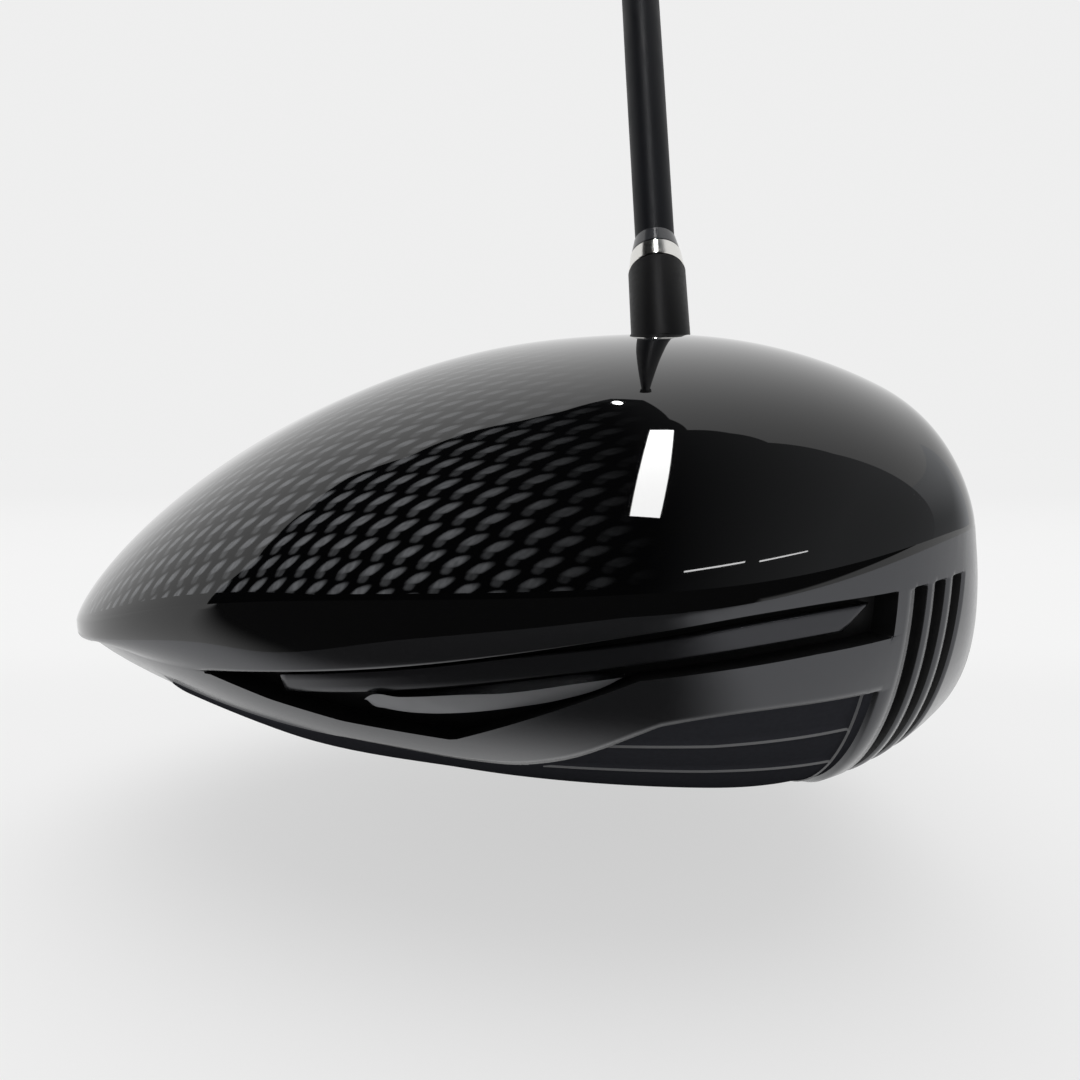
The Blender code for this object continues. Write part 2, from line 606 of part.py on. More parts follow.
def cone(name, span, radii, finish):
    """A conical ring glued on the shaft, with its radii at the foot and at the top."""
    low, high = span
    bore = SHAFT_TAPER[0][1] + GLUE
    turned(name, [(radii[1], high), (radii[0], low), (bore, low), (bore, high)], SHAFT_AXIS, finish)


def add_sleeve_and_ferrule():
    """Sleeve with its collar, then the bright ring and the tapered ferrule above it."""
    bore = SHAFT_TAPER[0][1] + GLUE
    thread = BOLT_RADIUS + GAP
    collar_foot = HOSEL_TOP + GAP
    shaft_seat = SHAFT_TIP - GAP
    sleeve = [(HOSEL_RADIUS - COLLAR_EDGE, COLLAR_TOP), (HOSEL_RADIUS, COLLAR_TOP - COLLAR_EDGE)]
    sleeve += [(HOSEL_RADIUS, collar_foot), (SLEEVE_RADIUS, collar_foot), (SLEEVE_RADIUS, SLEEVE_FOOT)]
    sleeve += [(thread, SLEEVE_FOOT), (thread, shaft_seat), (bore, shaft_seat), (bore, COLLAR_TOP)]
    turned("hosel_sleeve", sleeve, SHAFT_AXIS, ANODISED)
    cone("ferrule_ring", (COLLAR_TOP + GAP, RING_TOP), RING_RADII, BRIGHT)
    cone("ferrule", (RING_TOP + GAP, FERRULE_TOP), FERRULE_RADII, GREY_PLASTIC)


def shaft_radius(station):
    stations, radii = zip(*SHAFT_TAPER)
    return float(np.interp(station, stations, radii))


def add_shaft_and_grip():
    tip_end, taper_middle, taper_end = (station for station, _ in SHAFT_TAPER)
    outer = [(shaft_radius(s), s) for s in (SHAFT_BUTT, taper_end, taper_middle, tip_end, SHAFT_TIP)]
    inner = [(radius - SHAFT_WALL, s) for radius, s in outer]
    turned("shaft", outer + inner[::-1], SHAFT_AXIS, SHAFT_BLACK)

    inner = [(shaft_radius(s) + GAP, s) for s in (TAPE_SPAN[1], taper_end, TAPE_SPAN[0])]
    outer = [(radius + TAPE_THICKNESS, s) for radius, s in inner]
    turned("grip_tape", outer + inner[::-1], SHAFT_AXIS, TAPE)

    bore = [(shaft_radius(s) + TAPE_THICKNESS + 2 * GAP, s) for s in (GRIP_MOUTH, taper_end, SHAFT_BUTT)]
    (mouth, mouth_radius), *upper = GRIP_TAPER
    edge, edge_length = GRIP_MOUTH_EDGE
    outer = [(GRIP_BUTT_RADIUS, SHAFT_BUTT)]
    outer += [(radius, s) for s, radius in reversed(upper)]
    outer += [(mouth_radius, mouth + edge_length), (mouth_radius - edge, mouth)]
    turned("grip", outer + bore, SHAFT_AXIS, RUBBER)

    rim = SHAFT_BUTT + GAP
    plug = shaft_radius(SHAFT_BUTT) - SHAFT_WALL - GAP
    cap = [(0, CLUB_LENGTH), (CAP_FLAT_RADIUS, CLUB_LENGTH)]
    cap += [(radius, CLUB_LENGTH - drop) for radius, drop in CAP_ROUND]
    cap += [(GRIP_BUTT_RADIUS, rim), (plug, rim), (plug, SHAFT_BUTT - CAP_PLUG), (0, SHAFT_BUTT - CAP_PLUG)]
    turned("grip_cap", cap, SHAFT_AXIS, RUBBER, closed=False)


def main():
    body = add_head_body()
    add_crown_panel()
    add_hosel(body)
    pocket = add_rear_weight(body)
    cut_side_recess(body, "toe", FRONT_COLLAR_X)
    cut_side_recess(body, "heel", HEEL_RECESS_END)
    cut_slots(body)
    add_sole_panel(body, pocket)
    add_face_plate(body)
    add_bolt()
    add_sleeve_and_ferrule()
    add_shaft_and_grip()


main()
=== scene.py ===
"""Looks of the golf driver: a fine skin over each node of the frame, its finishes, stage and camera."""

import math

import bmesh
import bpy
import numpy as np
from mathutils import Matrix, Vector, kdtree


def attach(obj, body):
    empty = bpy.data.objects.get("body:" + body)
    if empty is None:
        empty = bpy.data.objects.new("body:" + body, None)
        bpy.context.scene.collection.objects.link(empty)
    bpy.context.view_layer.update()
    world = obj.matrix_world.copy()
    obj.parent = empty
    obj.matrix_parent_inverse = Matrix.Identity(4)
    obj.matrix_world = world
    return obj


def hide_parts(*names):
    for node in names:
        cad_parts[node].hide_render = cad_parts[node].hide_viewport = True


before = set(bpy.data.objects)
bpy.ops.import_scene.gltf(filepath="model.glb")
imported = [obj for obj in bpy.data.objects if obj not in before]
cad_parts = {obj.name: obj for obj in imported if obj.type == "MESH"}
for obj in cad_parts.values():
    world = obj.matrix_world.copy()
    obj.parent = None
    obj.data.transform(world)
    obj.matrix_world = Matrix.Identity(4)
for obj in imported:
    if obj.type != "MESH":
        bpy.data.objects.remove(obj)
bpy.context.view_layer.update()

MM = 0.001
TINY = 1e-9
FULL_TURN = 2 * math.pi
QUARTER_TURN = math.pi / 2
TOE = -1
HEEL = 1

# Head, in millimetres, as in the part: stations of the rim with x, y, z, the fullness of the crown
# and of the sole there, and how far down the crown panel reaches
RIM_STATIONS = np.array(
    [
        (42.0, 0.0, 30.5, 1.73, 1.70, 0.34),
        (26.5, -43.8, 37.6, 1.79, 2.39, 0.62),
        (-5.0, -61.98, 31.5, 2.35, 1.70, 0.955),
        (-50.0, -50.0, 29.5, 1.78, 1.70, 0.955),
        (-77.0, -28.0, 24.2, 1.36, 1.30, 0.945),
        (-87.0, 2.0, 22.5, 1.31, 1.50, 0.93),
        (-77.0, 31.0, 24.7, 1.41, 1.35, 0.945),
        (-50.0, 51.0, 29.5, 1.78, 1.70, 0.945),
        (-5.0, 62.0, 31.5, 2.09, 1.75, 0.60),
        (30.0, 43.0, 37.6, 1.945, 2.20, 0.38),
    ]
)
CROWN_FULLNESS, SOLE_FULLNESS, PANEL_SHARE = 3, 4, 5
RIM_STEPS = 4000
APEX = np.array((-8.3, 5.5, 61.6))
SOLE_POLE = np.array((0.0, 0.0, -1.0))
CROWN_PLAN_POWER = 2.0
SOLE_PLAN_POWER = 2.05
WIDEST_PANEL_SHARE = 0.965
TAIL_X = -87.0
TAIL_Y = 2.0
FACE_X = 29.62
FACE_Z = 28.0
LOFT = math.radians(10.25)
FACE_RADIUS = 305.0
FACE_EDGE_FILLET = 4.5

# Side of the head: edges as heights over x
RIM_DROP = ((-87.0, 2.0), (-57.0, 2.9), (-34.0, 2.7), (-19.0, 1.4), (-7.0, 0.15), (42.0, 0.1))
RECESS_TOP = (
    (-58.0, 21.4), (-37.0, 24.2), (-11.3, 29.15), (-1.6, 30.95), (4.0, 31.7), (11.8, 32.4), (24.0, 33.9),
)
RECESS_LOW = (
    (-58.0, 21.4), (-50.0, 18.6), (-42.0, 16.7), (-30.0, 15.5), (-12.0, 24.4), (4.0, 26.9), (24.0, 29.4),
)
RAIL_TOP = (
    (-49.0, 21.9), (-33.8, 24.2), (-22.5, 26.3), (-11.2, 28.1), (-1.2, 30.0), (4.1, 30.75), (24.0, 32.0),
)
RAIL_LOW = (
    (-49.0, 19.5), (-42.1, 20.3), (-31.7, 22.0), (-21.2, 24.1), (-11.1, 25.9), (-1.0, 27.6), (24.0, 30.5),
)
PANEL_EDGE = (
    (-76.0, 23.0), (-59.5, 16.7), (-48.0, 14.5), (-36.0, 12.9), (-28.0, 11.9), (-23.5, 11.9), (-19.0, 13.3),
    (-11.0, 18.3), (-9.6, 19.15), (-8.6, 19.45), (11.8, 22.3), (24.0, 23.5),
)
GLOSS_EDGE = (
    (-87.0, 21.0), (-72.0, 23.3), (-56.7, 25.2), (-48.6, 25.0), (-34.3, 27.5), (-19.2, 29.7), (-7.0, 31.6),
    (3.8, 33.7), (12.0, 35.2), (42.0, 40.0),
)
RIDGES = (((-25.0, 14.6), (-4.0, 15.3), (11.8, 17.0)), ((-25.0, 10.6), (-4.0, 10.9), (11.8, 11.6)))

# The panel's corner on the heel side, as y over x, and other places along x
PANEL_CORNER = ((-28.0, 58.0), (-10.0, 36.0), (11.8, 17.0), (24.0, 12.0))
PANEL_TAIL_X = -66.0
FRONT_COLLAR_X = 11.8
RECESS_END = {TOE: FRONT_COLLAR_X, HEEL: -8.0}
TERRACE_END_X = 10.2
GLOSS_END_X = -8.0
SLOT_XS = (14.6, 17.1, 19.6)
SLOT_HALF_WIDTH = 0.95
SLOT_DROP = {TOE: 0.0, HEEL: 14.0}
EDGE = 0.35
SLOT_EDGE = 0.5

# Depths under the skin
RECESS_DEPTH = 2.4
RAIL_DEPTH = 1.0
PANEL_DEPTH = 0.8
PANEL_PROUD = 0.35
PANEL_PROUD_X = (-52.0, -30.0)
TERRACE_STEP = 0.12
SLOT_DEPTH = 1.5

# Shaft axis, and the bore and the port along it
LIE = math.radians(59.0)
SHAFT_FOOT = np.array((4.45, 32.0, 0.0))
SHAFT_WAY = np.array((0.0, math.cos(LIE), math.sin(LIE)))
SHAFT_SIDE = np.array((1.0, 0.0, 0.0))
SHAFT_UP = np.cross(SHAFT_WAY, SHAFT_SIDE)
HOSEL_RADIUS = 6.45
HOSEL_TOP = 77.0
BORE_RADIUS = 5.75
BORE_FOOT = 44.0
PORT_RADIUS = 4.6
PORT_END = 23.3
PORT_REACH = 25.0

# Rear weight and its pocket
WEIGHT_PLACE = np.array((-60.0, 0.0, 8.7))
WEIGHT_TILT = math.radians(18.0)
WEIGHT_AXIS = np.array((math.sin(WEIGHT_TILT), 0.0, math.cos(WEIGHT_TILT)))
WEIGHT_SHORT = np.array((math.cos(WEIGHT_TILT), 0.0, -math.sin(WEIGHT_TILT)))
WEIGHT_LONG = np.array((0.0, 1.0, 0.0))
WEIGHT_HALF_LONG = 13.0
WEIGHT_HALF_SHORT = 6.5
WEIGHT_GAP = 0.35
POCKET_DEPTH = 6.35
POCKET_REACH = 12.0


# Curves and grids
BISECTIONS = 34
FAR = 99.0


def line(points):
    """A height over x, as straight runs between points."""
    xs, values = zip(*points)
    return lambda x: np.interp(x, xs, values)


def curve(points):
    """A height over x, as a smooth curve through points."""
    xs, values = (np.array(column) for column in zip(*points))
    slopes = np.gradient(values, xs)

    def value(x):
        x = np.clip(x, xs[0], xs[-1])
        i = np.clip(np.searchsorted(xs, x) - 1, 0, len(xs) - 2)
        step = xs[i + 1] - xs[i]
        t = (x - xs[i]) / step
        bend = slopes[i] * step * t * (1 - t) ** 2 - slopes[i + 1] * step * t**2 * (1 - t)
        return values[i] + (values[i + 1] - values[i]) * t**2 * (3 - 2 * t) + bend

    return value


def ramp(value):
    """0 up to 0, 1 from 1 on, and smooth between."""
    value = np.clip(value, 0, 1)
    return value * value * (3 - 2 * value)


def fade(value, span):
    """0 up to the start of a span, 1 from its end on."""
    return ramp((value - span[0]) / (span[1] - span[0]))


def bisect(low, high, holds):
    """Where, on the way from low to high, a test stops to hold."""
    for _ in range(BISECTIONS):
        middle = (low + high) / 2
        held = holds(middle)
        low = np.where(held, middle, low)
        high = np.where(held, high, middle)
    return (low + high) / 2


def turns(columns):
    return np.arange(columns) * FULL_TURN / columns


def grid_faces(rows, columns, wrap=False):
    """Quads of a grid of vertices in rows; wrap joins the last column to the first."""
    across = np.arange(columns if wrap else columns - 1)
    row, column = np.meshgrid(np.arange(rows - 1), across, indexing="ij")
    corner = row * columns + column
    beside = row * columns + (column + 1) % columns
    return np.stack((corner, beside, beside + columns, corner + columns), axis=-1).reshape(-1, 4)


def grid_normals(points):
    normal = np.cross(np.gradient(points, axis=1), np.gradient(points, axis=0))
    return normal / np.maximum(np.linalg.norm(normal, axis=-1, keepdims=True), TINY)


drop_at = line(RIM_DROP)
recess_top_at = curve(RECESS_TOP)
recess_low_at = line(RECESS_LOW)
rail_top_at = curve(RAIL_TOP)
rail_low_at = curve(RAIL_LOW)
panel_edge_at = curve(PANEL_EDGE)
gloss_edge_at = curve(GLOSS_EDGE)
panel_corner_at = line(PANEL_CORNER)
ridge_at = [line(points) for points in RIDGES]


# Meshes
WELD_REACH = 0.0005


def add_object(name, data):
    holder = bpy.data.objects.new(name, data)
    bpy.context.scene.collection.objects.link(holder)
    return holder


def edit_mesh(mesh, change, sharp=None):
    """The mesh changed in its editable form, with the edges that turn by more than an angle made sharp."""
    bm = bmesh.new()
    bm.from_mesh(mesh)
    change(bm)
    bm.to_mesh(mesh)
    bm.free()
    if sharp:
        mesh.set_sharp_from_angle(angle=math.radians(sharp))


def weld(bm):
    bmesh.ops.remove_doubles(bm, verts=bm.verts, dist=WELD_REACH * MM)
    bmesh.ops.dissolve_degenerate(bm, edges=bm.edges, dist=WELD_REACH * MM)


def face_out(bm):
    bmesh.ops.recalc_face_normals(bm, faces=bm.faces)


def of_kind(parts, kind):
    return [part for part in parts if isinstance(part, kind)]


def add_mesh(name, points, faces, *finishes, numbers=None, sharp=None):
    """An object from points in millimetres and faces, with its finishes and each face's finish number."""
    mesh = bpy.data.meshes.new(name)
    points = np.asarray(points).reshape(-1, 3) * MM
    mesh.from_pydata(points.tolist(), [], [list(map(int, face)) for face in faces])
    for finish in finishes:
        mesh.materials.append(finish)
    if numbers is not None:
        mesh.polygons.foreach_set("material_index", np.asarray(numbers, np.int32))
    mesh.shade_smooth()
    edit_mesh(mesh, weld, sharp)
    return add_object(name, mesh)


def add_marks(mesh, name, kind, field, values):
    """A value for each vertex of the mesh, which a finish can read by its name."""
    marks = mesh.attributes.new(name, kind, "POINT")
    marks.data.foreach_set(field, np.asarray(values, np.float32).reshape(-1))


def wear(piece, body, node):
    """The piece rides on a body and stands for a node."""
    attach(piece, body)
    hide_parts(node)


def compact(points, faces):
    """Only the points that the faces use, and the faces renumbered."""
    points = points.reshape(-1, 3)
    used = np.unique(np.concatenate([np.array(face) for face in faces]))
    place = np.full(len(points), -1)
    place[used] = np.arange(len(used))
    return points[used], [[int(place[k]) for k in face] for face in faces]


# Skin of the head: crown and sole over the plan, and the face that cuts them off
def spline_through(stations, places):
    """Rows at the places, counted in stations, along the smooth closed curve through the stations."""
    size = len(stations)
    unit = np.eye(size)
    weights = (4 * unit + np.roll(unit, 1, axis=0) + np.roll(unit, -1, axis=0)) / 6
    knots = np.linalg.solve(weights, stations)
    index = np.floor(places).astype(int)
    u = (places - index)[:, None]
    basis = ((1 - u) ** 3, 3 * u**3 - 6 * u**2 + 4, 1 + 3 * u + 3 * u**2 - 3 * u**3, u**3)
    return sum(b / 6 * knots[(index + k - 1) % size] for k, b in enumerate(basis))


RIM = spline_through(RIM_STATIONS, np.arange(RIM_STEPS) * len(RIM_STATIONS) / RIM_STEPS)


class Half:
    """The crown or the sole as a height over the plan; its fullness is a column of the rim."""

    def __init__(self, pole, power, fullness):
        self.pole = pole
        self.power = power
        turn, reach = self.polar(RIM[:, 0], RIM[:, 1])
        order = np.argsort(turn)
        self.turn = turn[order]
        self.reach = reach[order]
        self.rim_z = RIM[order, 2]
        self.fullness = RIM[order, fullness]

    def polar(self, x, y):
        dx, dy = x - self.pole[0], y - self.pole[1]
        return -np.arctan2(dy, dx) % FULL_TURN, np.hypot(dx, dy)

    def on_rim(self, turn, values):
        return np.interp(turn, self.turn, values, period=FULL_TURN)

    def height(self, x, y):
        turn, off = self.polar(x, y)
        rim_z = self.on_rim(turn, self.rim_z)
        share = np.clip(off / self.on_rim(turn, self.reach), 0, 1) ** self.power
        rise = np.sqrt(1 - share) ** (2 / self.on_rim(turn, self.fullness))
        return rim_z + (self.pole[2] - rim_z) * rise

    def covers(self, x, y):
        turn, off = self.polar(x, y)
        return off < self.on_rim(turn, self.reach)


CROWN = Half(APEX, CROWN_PLAN_POWER, CROWN_FULLNESS)
SOLE = Half(SOLE_POLE, SOLE_PLAN_POWER, SOLE_FULLNESS)


def face_height(y, z):
    """x of the face surface at y and z."""
    rise = z - FACE_Z
    return FACE_X - y**2 / (2 * FACE_RADIUS) - rise * math.tan(LOFT) - rise**2 / (2 * FACE_RADIUS)


def behind_face(points):
    """The points, with those in front of the face surface brought back onto it, round a soft edge."""
    x, y, z = np.moveaxis(points, -1, 0)
    face = face_height(y, z)
    behind = face - x
    soft = (behind + FACE_EDGE_FILLET) ** 2 / (4 * FACE_EDGE_FILLET)
    kept = np.where(behind > FACE_EDGE_FILLET, behind, np.where(behind < -FACE_EDGE_FILLET, 0.0, soft))
    return np.stack((face - kept, y, z), axis=-1)


def in_head(points):
    """Whether each point is under the skin of the head."""
    x, y, z = np.moveaxis(points, -1, 0)
    under = CROWN.covers(x, y) & (z < CROWN.height(x, y))
    over = SOLE.covers(x, y) & (z > SOLE.height(x, y))
    return under & over & (x < face_height(y, z))


def rim_side(x, side):
    """y and z of the rim at x, on one side."""
    rear, front = RIM[:, 0].argmin(), RIM[:, 0].argmax()
    first, last = (front, rear) if side == TOE else (rear, front)
    run = RIM[np.arange(first, last + (0 if last > first else len(RIM)) + 1) % len(RIM)]
    run = run[np.argsort(run[:, 0])]
    return np.interp(x, run[:, 0], run[:, 1]), np.interp(x, run[:, 0], run[:, 2])


def skin_at(x, z, side):
    """Points of the plain lower skin at x and z on one side."""
    x, z = np.broadcast_arrays(x, z)
    rim_y, _ = rim_side(x, side)
    share = bisect(0.0, 1.0, lambda at: SOLE.height(x, rim_y * at) <= z)
    return behind_face(np.stack((x, rim_y * share, z), axis=-1))


# Lower half of the head: a grid whose columns run across the sole and whose rows follow the edges
TAIL_COLUMNS = 34
TAIL_CLEAR = 0.02
REAR_END_X = -60.0
REAR_STEP = 0.8
LEAST_COLUMN = 0.2
FACE_START_X = 24.0
FACE_END_X = 42.0
FACE_CLEAR = 0.01
FACE_COLUMNS = 22
SPLITS = {TOE: (6, 8, 4, 12, 4, 8, 4, 6, 4, 6, 4), HEEL: (6, 8, 4, 12, 4, 34, 4, 6, 4, 6, 4)}
FLOOR_ROWS = 26
EDGES_X = (-76.0, 22.0)
TAIL_BLEND = 16.0
TAIL_SHARE = 0.45
LEAST_GAP = 0.06
ROLL_REACH = 0.35
LEAST_BEND = 1e-3
GLOSS_LEAST = 0.04
PANEL_WALL = 0.5
PANEL_LIP = PANEL_WALL / 2 - 0.001
RIB_HALF_WIDTH = 0.28
RIB_HEIGHT = 0.3
RIB_FADE = (-36.0, -20.0)
# Rib faces above this share take a lighter finish, a painted highlight of their edges.
RIB_HIGHLIGHT_SHARE = 0.4
LEAST_REACH = 0.3
ON_MIDDLE = 1e-6


def sole_columns():
    """The x of each column, close together where an edge runs across the sole."""
    share = np.linspace(0, 1, TAIL_COLUMNS, endpoint=False) ** 2
    tail = TAIL_X + TAIL_CLEAR + (REAR_END_X - TAIL_X) * share
    edges = [end - EDGE * k / 2 for end in RECESS_END.values() for k in range(3)]
    edges.append(FRONT_COLLAR_X - PANEL_WALL)
    edges += [TERRACE_END_X + RIB_HALF_WIDTH * k / 2 for k in range(-2, 3)]
    for x in SLOT_XS:
        edges += [x + way * (SLOT_HALF_WIDTH - SLOT_EDGE * k / 4) for k in range(5) for way in (-1, 1)]
    even = np.arange(REAR_END_X, FACE_START_X, REAR_STEP)
    gaps = np.abs(even[:, None] - np.array(edges)).min(axis=1)
    face = np.linspace(FACE_START_X, FACE_END_X - FACE_CLEAR, FACE_COLUMNS)
    return np.sort(np.concatenate((tail, even[gaps > LEAST_COLUMN], edges, face)))


def sole_middle(x):
    """y of the middle of the sole at x."""
    return TAIL_Y * np.clip(x / TAIL_X, 0, 1) ** 2


def edge_heights(x, side, rim_z):
    """Heights of the edges on one side at x, from the recess top downwards."""
    panel = panel_edge_at(x)
    if side == HEEL:
        corner = np.minimum(panel, SOLE.height(x, panel_corner_at(x)))
        panel = np.where(x > PANEL_CORNER[0][0], corner, panel)
    in_tail = ramp((RECESS_TOP[0][0] - x) / TAIL_BLEND)
    middle = (rim_z - drop_at(x)) * TAIL_SHARE + panel * (1 - TAIL_SHARE)
    top, low = (edge(x) * (1 - in_tail) + middle * in_tail for edge in (recess_top_at, recess_low_at))
    upper = np.minimum(ridge_at[0](x), panel - 2 * PANEL_WALL)
    lower = np.minimum(ridge_at[1](x), upper - 2 * PANEL_WALL)
    ribs = [ridge + way * RIB_HALF_WIDTH for ridge in (upper, lower) for way in (1, -1)]
    return [top, top - EDGE, low + EDGE, low, panel, panel - PANEL_WALL, *ribs]


def side_shares(x, side, splits):
    """For each row and column, the share of the way from the middle of the sole to the rim."""
    held = np.clip(x, *EDGES_X)
    rim_y, rim_z = rim_side(held, side)
    middle = sole_middle(held)
    heights = edge_heights(held, side, rim_z)
    least = SOLE.height(held, middle)
    above = rim_z - drop_at(held)
    for k, height in enumerate(heights):
        lowest = least + (len(heights) - k) * LEAST_GAP / 2
        heights[k] = np.maximum(np.minimum(height, above - LEAST_GAP), lowest)
        above = heights[k]
    rows = [heights[0][None]]
    for above, below, split in zip(heights, heights[1:], splits[2:]):
        rows.append(above + (below - above) * np.arange(1, split + 1)[:, None] / split)
    rows = np.concatenate(rows)
    share = bisect(0.0, 1.0, lambda at: SOLE.height(held, middle + (rim_y - middle) * at) <= rows)
    floor = share[-1] * (1 - np.arange(1, FLOOR_ROWS + 1)[:, None] / FLOOR_ROWS)
    return np.concatenate((share, floor))


def side_points(x, side):
    """Rows of points from the rim down to the middle of the sole, before the face and the depths."""
    splits = SPLITS[side]
    rim_y, rim_z = rim_side(x, side)
    middle = sole_middle(x)
    y = middle + (rim_y - middle) * side_shares(x, side, splits)
    z = SOLE.height(x, y)
    bend_z = rim_z - (1 + ROLL_REACH) * drop_at(x)
    a, b = rim_z - 2 * bend_z + z[0], rim_z - bend_z
    under = np.maximum(b**2 - a * (rim_z - gloss_edge_at(x)), 0)
    split = (b - np.sqrt(under)) / np.where(np.abs(a) < LEAST_BEND, LEAST_BEND, a)
    split = np.clip(split, GLOSS_LEAST, 1 - GLOSS_LEAST)
    upper = split * np.linspace(0, 1, splits[0], endpoint=False)[:, None]
    lower = split + (1 - split) * np.linspace(0, 1, splits[1], endpoint=False)[:, None]
    t = np.concatenate((upper, lower))
    roll_y = rim_y * (1 - t**2) + y[0] * t**2
    roll_z = rim_z * (1 - t) ** 2 + 2 * bend_z * t * (1 - t) + z[0] * t**2
    y, z = np.concatenate((roll_y, y)), np.concatenate((roll_z, z))
    return np.stack((np.broadcast_to(x, y.shape), y, z), axis=-1)


def inside(value):
    """1 deep inside an edge, 0 outside it, with the edge's wall between; value is the distance inside."""
    return ramp(value / EDGE)


def rib(value):
    """1 on the crest of a rib, 0 beside it; value is the distance from the crest."""
    return ramp(1 - np.abs(value) / RIB_HALF_WIDTH)


def sink(skin, normals, depth):
    """Points moved level into the head until they lie a depth under the skin."""
    level = normals * np.array((1.0, 1.0, 0.0))
    reach = np.maximum((level**2).sum(axis=-1), LEAST_REACH)
    return skin - level * (depth / reach)[..., None]


def side_depth(points, side):
    """Depths under the skin in the recess and elsewhere, and marks: 1 on the sole panel, 2 on its ribs'
    painted highlight.
    """
    x, y, z = np.moveaxis(points, -1, 0)
    here = y * side > -ON_MIDDLE
    top = recess_top_at(x)
    recess = inside(top - z) * inside(z - recess_low_at(x)) * inside(RECESS_END[side] - x) * RECESS_DEPTH
    in_panel = np.minimum.reduce((panel_edge_at(x) - z, FRONT_COLLAR_X - x, x - PANEL_TAIL_X))
    if side == HEEL:
        in_corner = np.minimum(in_panel, panel_corner_at(x) - y)
        in_panel = np.where(x > PANEL_CORNER[0][0], in_corner, in_panel)
    on_panel = in_panel > PANEL_LIP
    ribs = [rib(z - ridge(x)) * inside(TERRACE_END_X + RIB_HALF_WIDTH - x) for ridge in ridge_at]
    ribs = np.maximum.reduce((*ribs, rib(x - TERRACE_END_X))) * fade(x, RIB_FADE)
    steps = sum(fade(z - ridge(x), (-RIB_HALF_WIDTH, RIB_HALF_WIDTH)) for ridge in ridge_at)
    steps = steps * inside(TERRACE_END_X - x) * fade(x, RIB_FADE)
    level = (PANEL_DEPTH + PANEL_PROUD) * fade(x, PANEL_PROUD_X) - PANEL_PROUD
    panel = ramp(in_panel / PANEL_WALL) * (level + TERRACE_STEP * steps - RIB_HEIGHT * ribs)
    slots = sum(ramp((SLOT_HALF_WIDTH - np.abs(x - middle)) / SLOT_EDGE) for middle in SLOT_XS)
    slots = slots * inside(top - SLOT_DROP[side] - z) * SLOT_DEPTH
    marks = on_panel.astype(int) + (on_panel & (ribs > RIB_HIGHLIGHT_SHARE))
    return np.where(here, recess, 0), np.where(here, panel + slots, 0), marks


def lower_head():
    """Grid points of the lower half before and after it is sunk, its normals, depths and panel marks."""
    x = sole_columns()
    toe = side_points(x, TOE)
    heel = side_points(x, HEEL)
    raw = np.concatenate((heel, toe[::-1][1:]))
    skin = behind_face(raw)
    normals = grid_normals(skin)
    halves = (side_depth(raw[: len(heel)], HEEL), side_depth(raw[len(heel) :], TOE))
    recess, depth, marks = (np.concatenate(pair) for pair in zip(*halves))
    sunk = sink(skin, normals, recess) - normals * depth[..., None]
    sunk[..., 2] = np.maximum(sunk[..., 2], 0)
    return raw, sunk, normals, recess + depth, marks


# Crown: rings from the apex to the joint of the panel, and on to the rim
CROWN_COLUMNS = 400
PANEL_ROWS = 84
BAND_ROWS = 18
SMALL_TURN = 1e-4
LAST_TURN = QUARTER_TURN - 1e-6
LAY_STEPS = 40
TUCK = 0.3
NORMAL_REACH = 0.002


def crown_points(rim, angle):
    """Points of the crown over the rim's columns, at angles from 0 at the apex up to the rim."""
    reach = np.sin(angle) ** (2 / CROWN_PLAN_POWER)
    rise = np.clip(np.cos(angle), 0, 1) ** (2 / rim[:, CROWN_FULLNESS])
    plan = APEX[:2] + (rim[None, :, :2] - APEX[:2]) * reach[..., None]
    z = rim[:, 2] + (APEX[2] - rim[:, 2]) * rise
    return behind_face(np.concatenate((plan, z[..., None]), axis=-1))


def crown_grid():
    """Points and normals of the crown, from the ring nearest the apex to the rim."""
    rim = RIM[:: len(RIM) // CROWN_COLUMNS]
    joint = np.minimum(rim[:, PANEL_SHARE], WIDEST_PANEL_SHARE) * QUARTER_TURN
    panel = joint * np.linspace(0, 1, PANEL_ROWS + 1)[1:, None]
    band = joint + (QUARTER_TURN - joint) * np.linspace(0, 1, BAND_ROWS + 1)[1:, None]
    angle = np.concatenate((panel, band))
    points = crown_points(rim, angle)
    around = np.roll(points, -1, axis=1) - np.roll(points, 1, axis=1)
    beyond = np.minimum(angle + SMALL_TURN, LAST_TURN)
    normals = np.cross(around, crown_points(rim, beyond) - crown_points(rim, angle - SMALL_TURN))
    normals = normals * np.sign(normals[0, 0, 2])
    return points, normals / np.linalg.norm(normals, axis=-1, keepdims=True)


def lay_of(points):
    """Where each point of the crown lies on the cloth: lengths over the skin from the apex, and its x."""
    lay = np.zeros(points.shape)
    share = np.linspace(0, 1, LAY_STEPS)
    for axis in (0, 1):
        path = np.repeat(points[:, :, None, :2], LAY_STEPS, axis=2)
        path[..., axis] = APEX[axis] + (points[..., None, axis] - APEX[axis]) * share
        z = CROWN.height(path[..., 0], path[..., 1])
        length = np.hypot(np.diff(path[..., axis], axis=2), np.diff(z, axis=2)).sum(axis=2)
        lay[..., axis] = np.sign(points[..., axis] - APEX[axis]) * length
    lay[..., 2] = points[..., 0]
    return lay


def bend_over(mesh, points, normals):
    """The mesh's shading at some points set to given normals, so that it runs on over a joint."""
    points, normals = points.reshape(-1, 3), normals.reshape(-1, 3)
    tree = kdtree.KDTree(len(points))
    for number, point in enumerate(points):
        tree.insert(point * MM, number)
    tree.balance()
    given = np.zeros((len(mesh.vertices), 3))
    for vertex in mesh.vertices:
        _, number, off = tree.find(vertex.co)
        if off < NORMAL_REACH * MM:
            given[vertex.index] = normals[number]
    corners = [corner.vertex_index for corner in mesh.loops]
    mesh.normals_split_custom_set(given[corners].tolist())


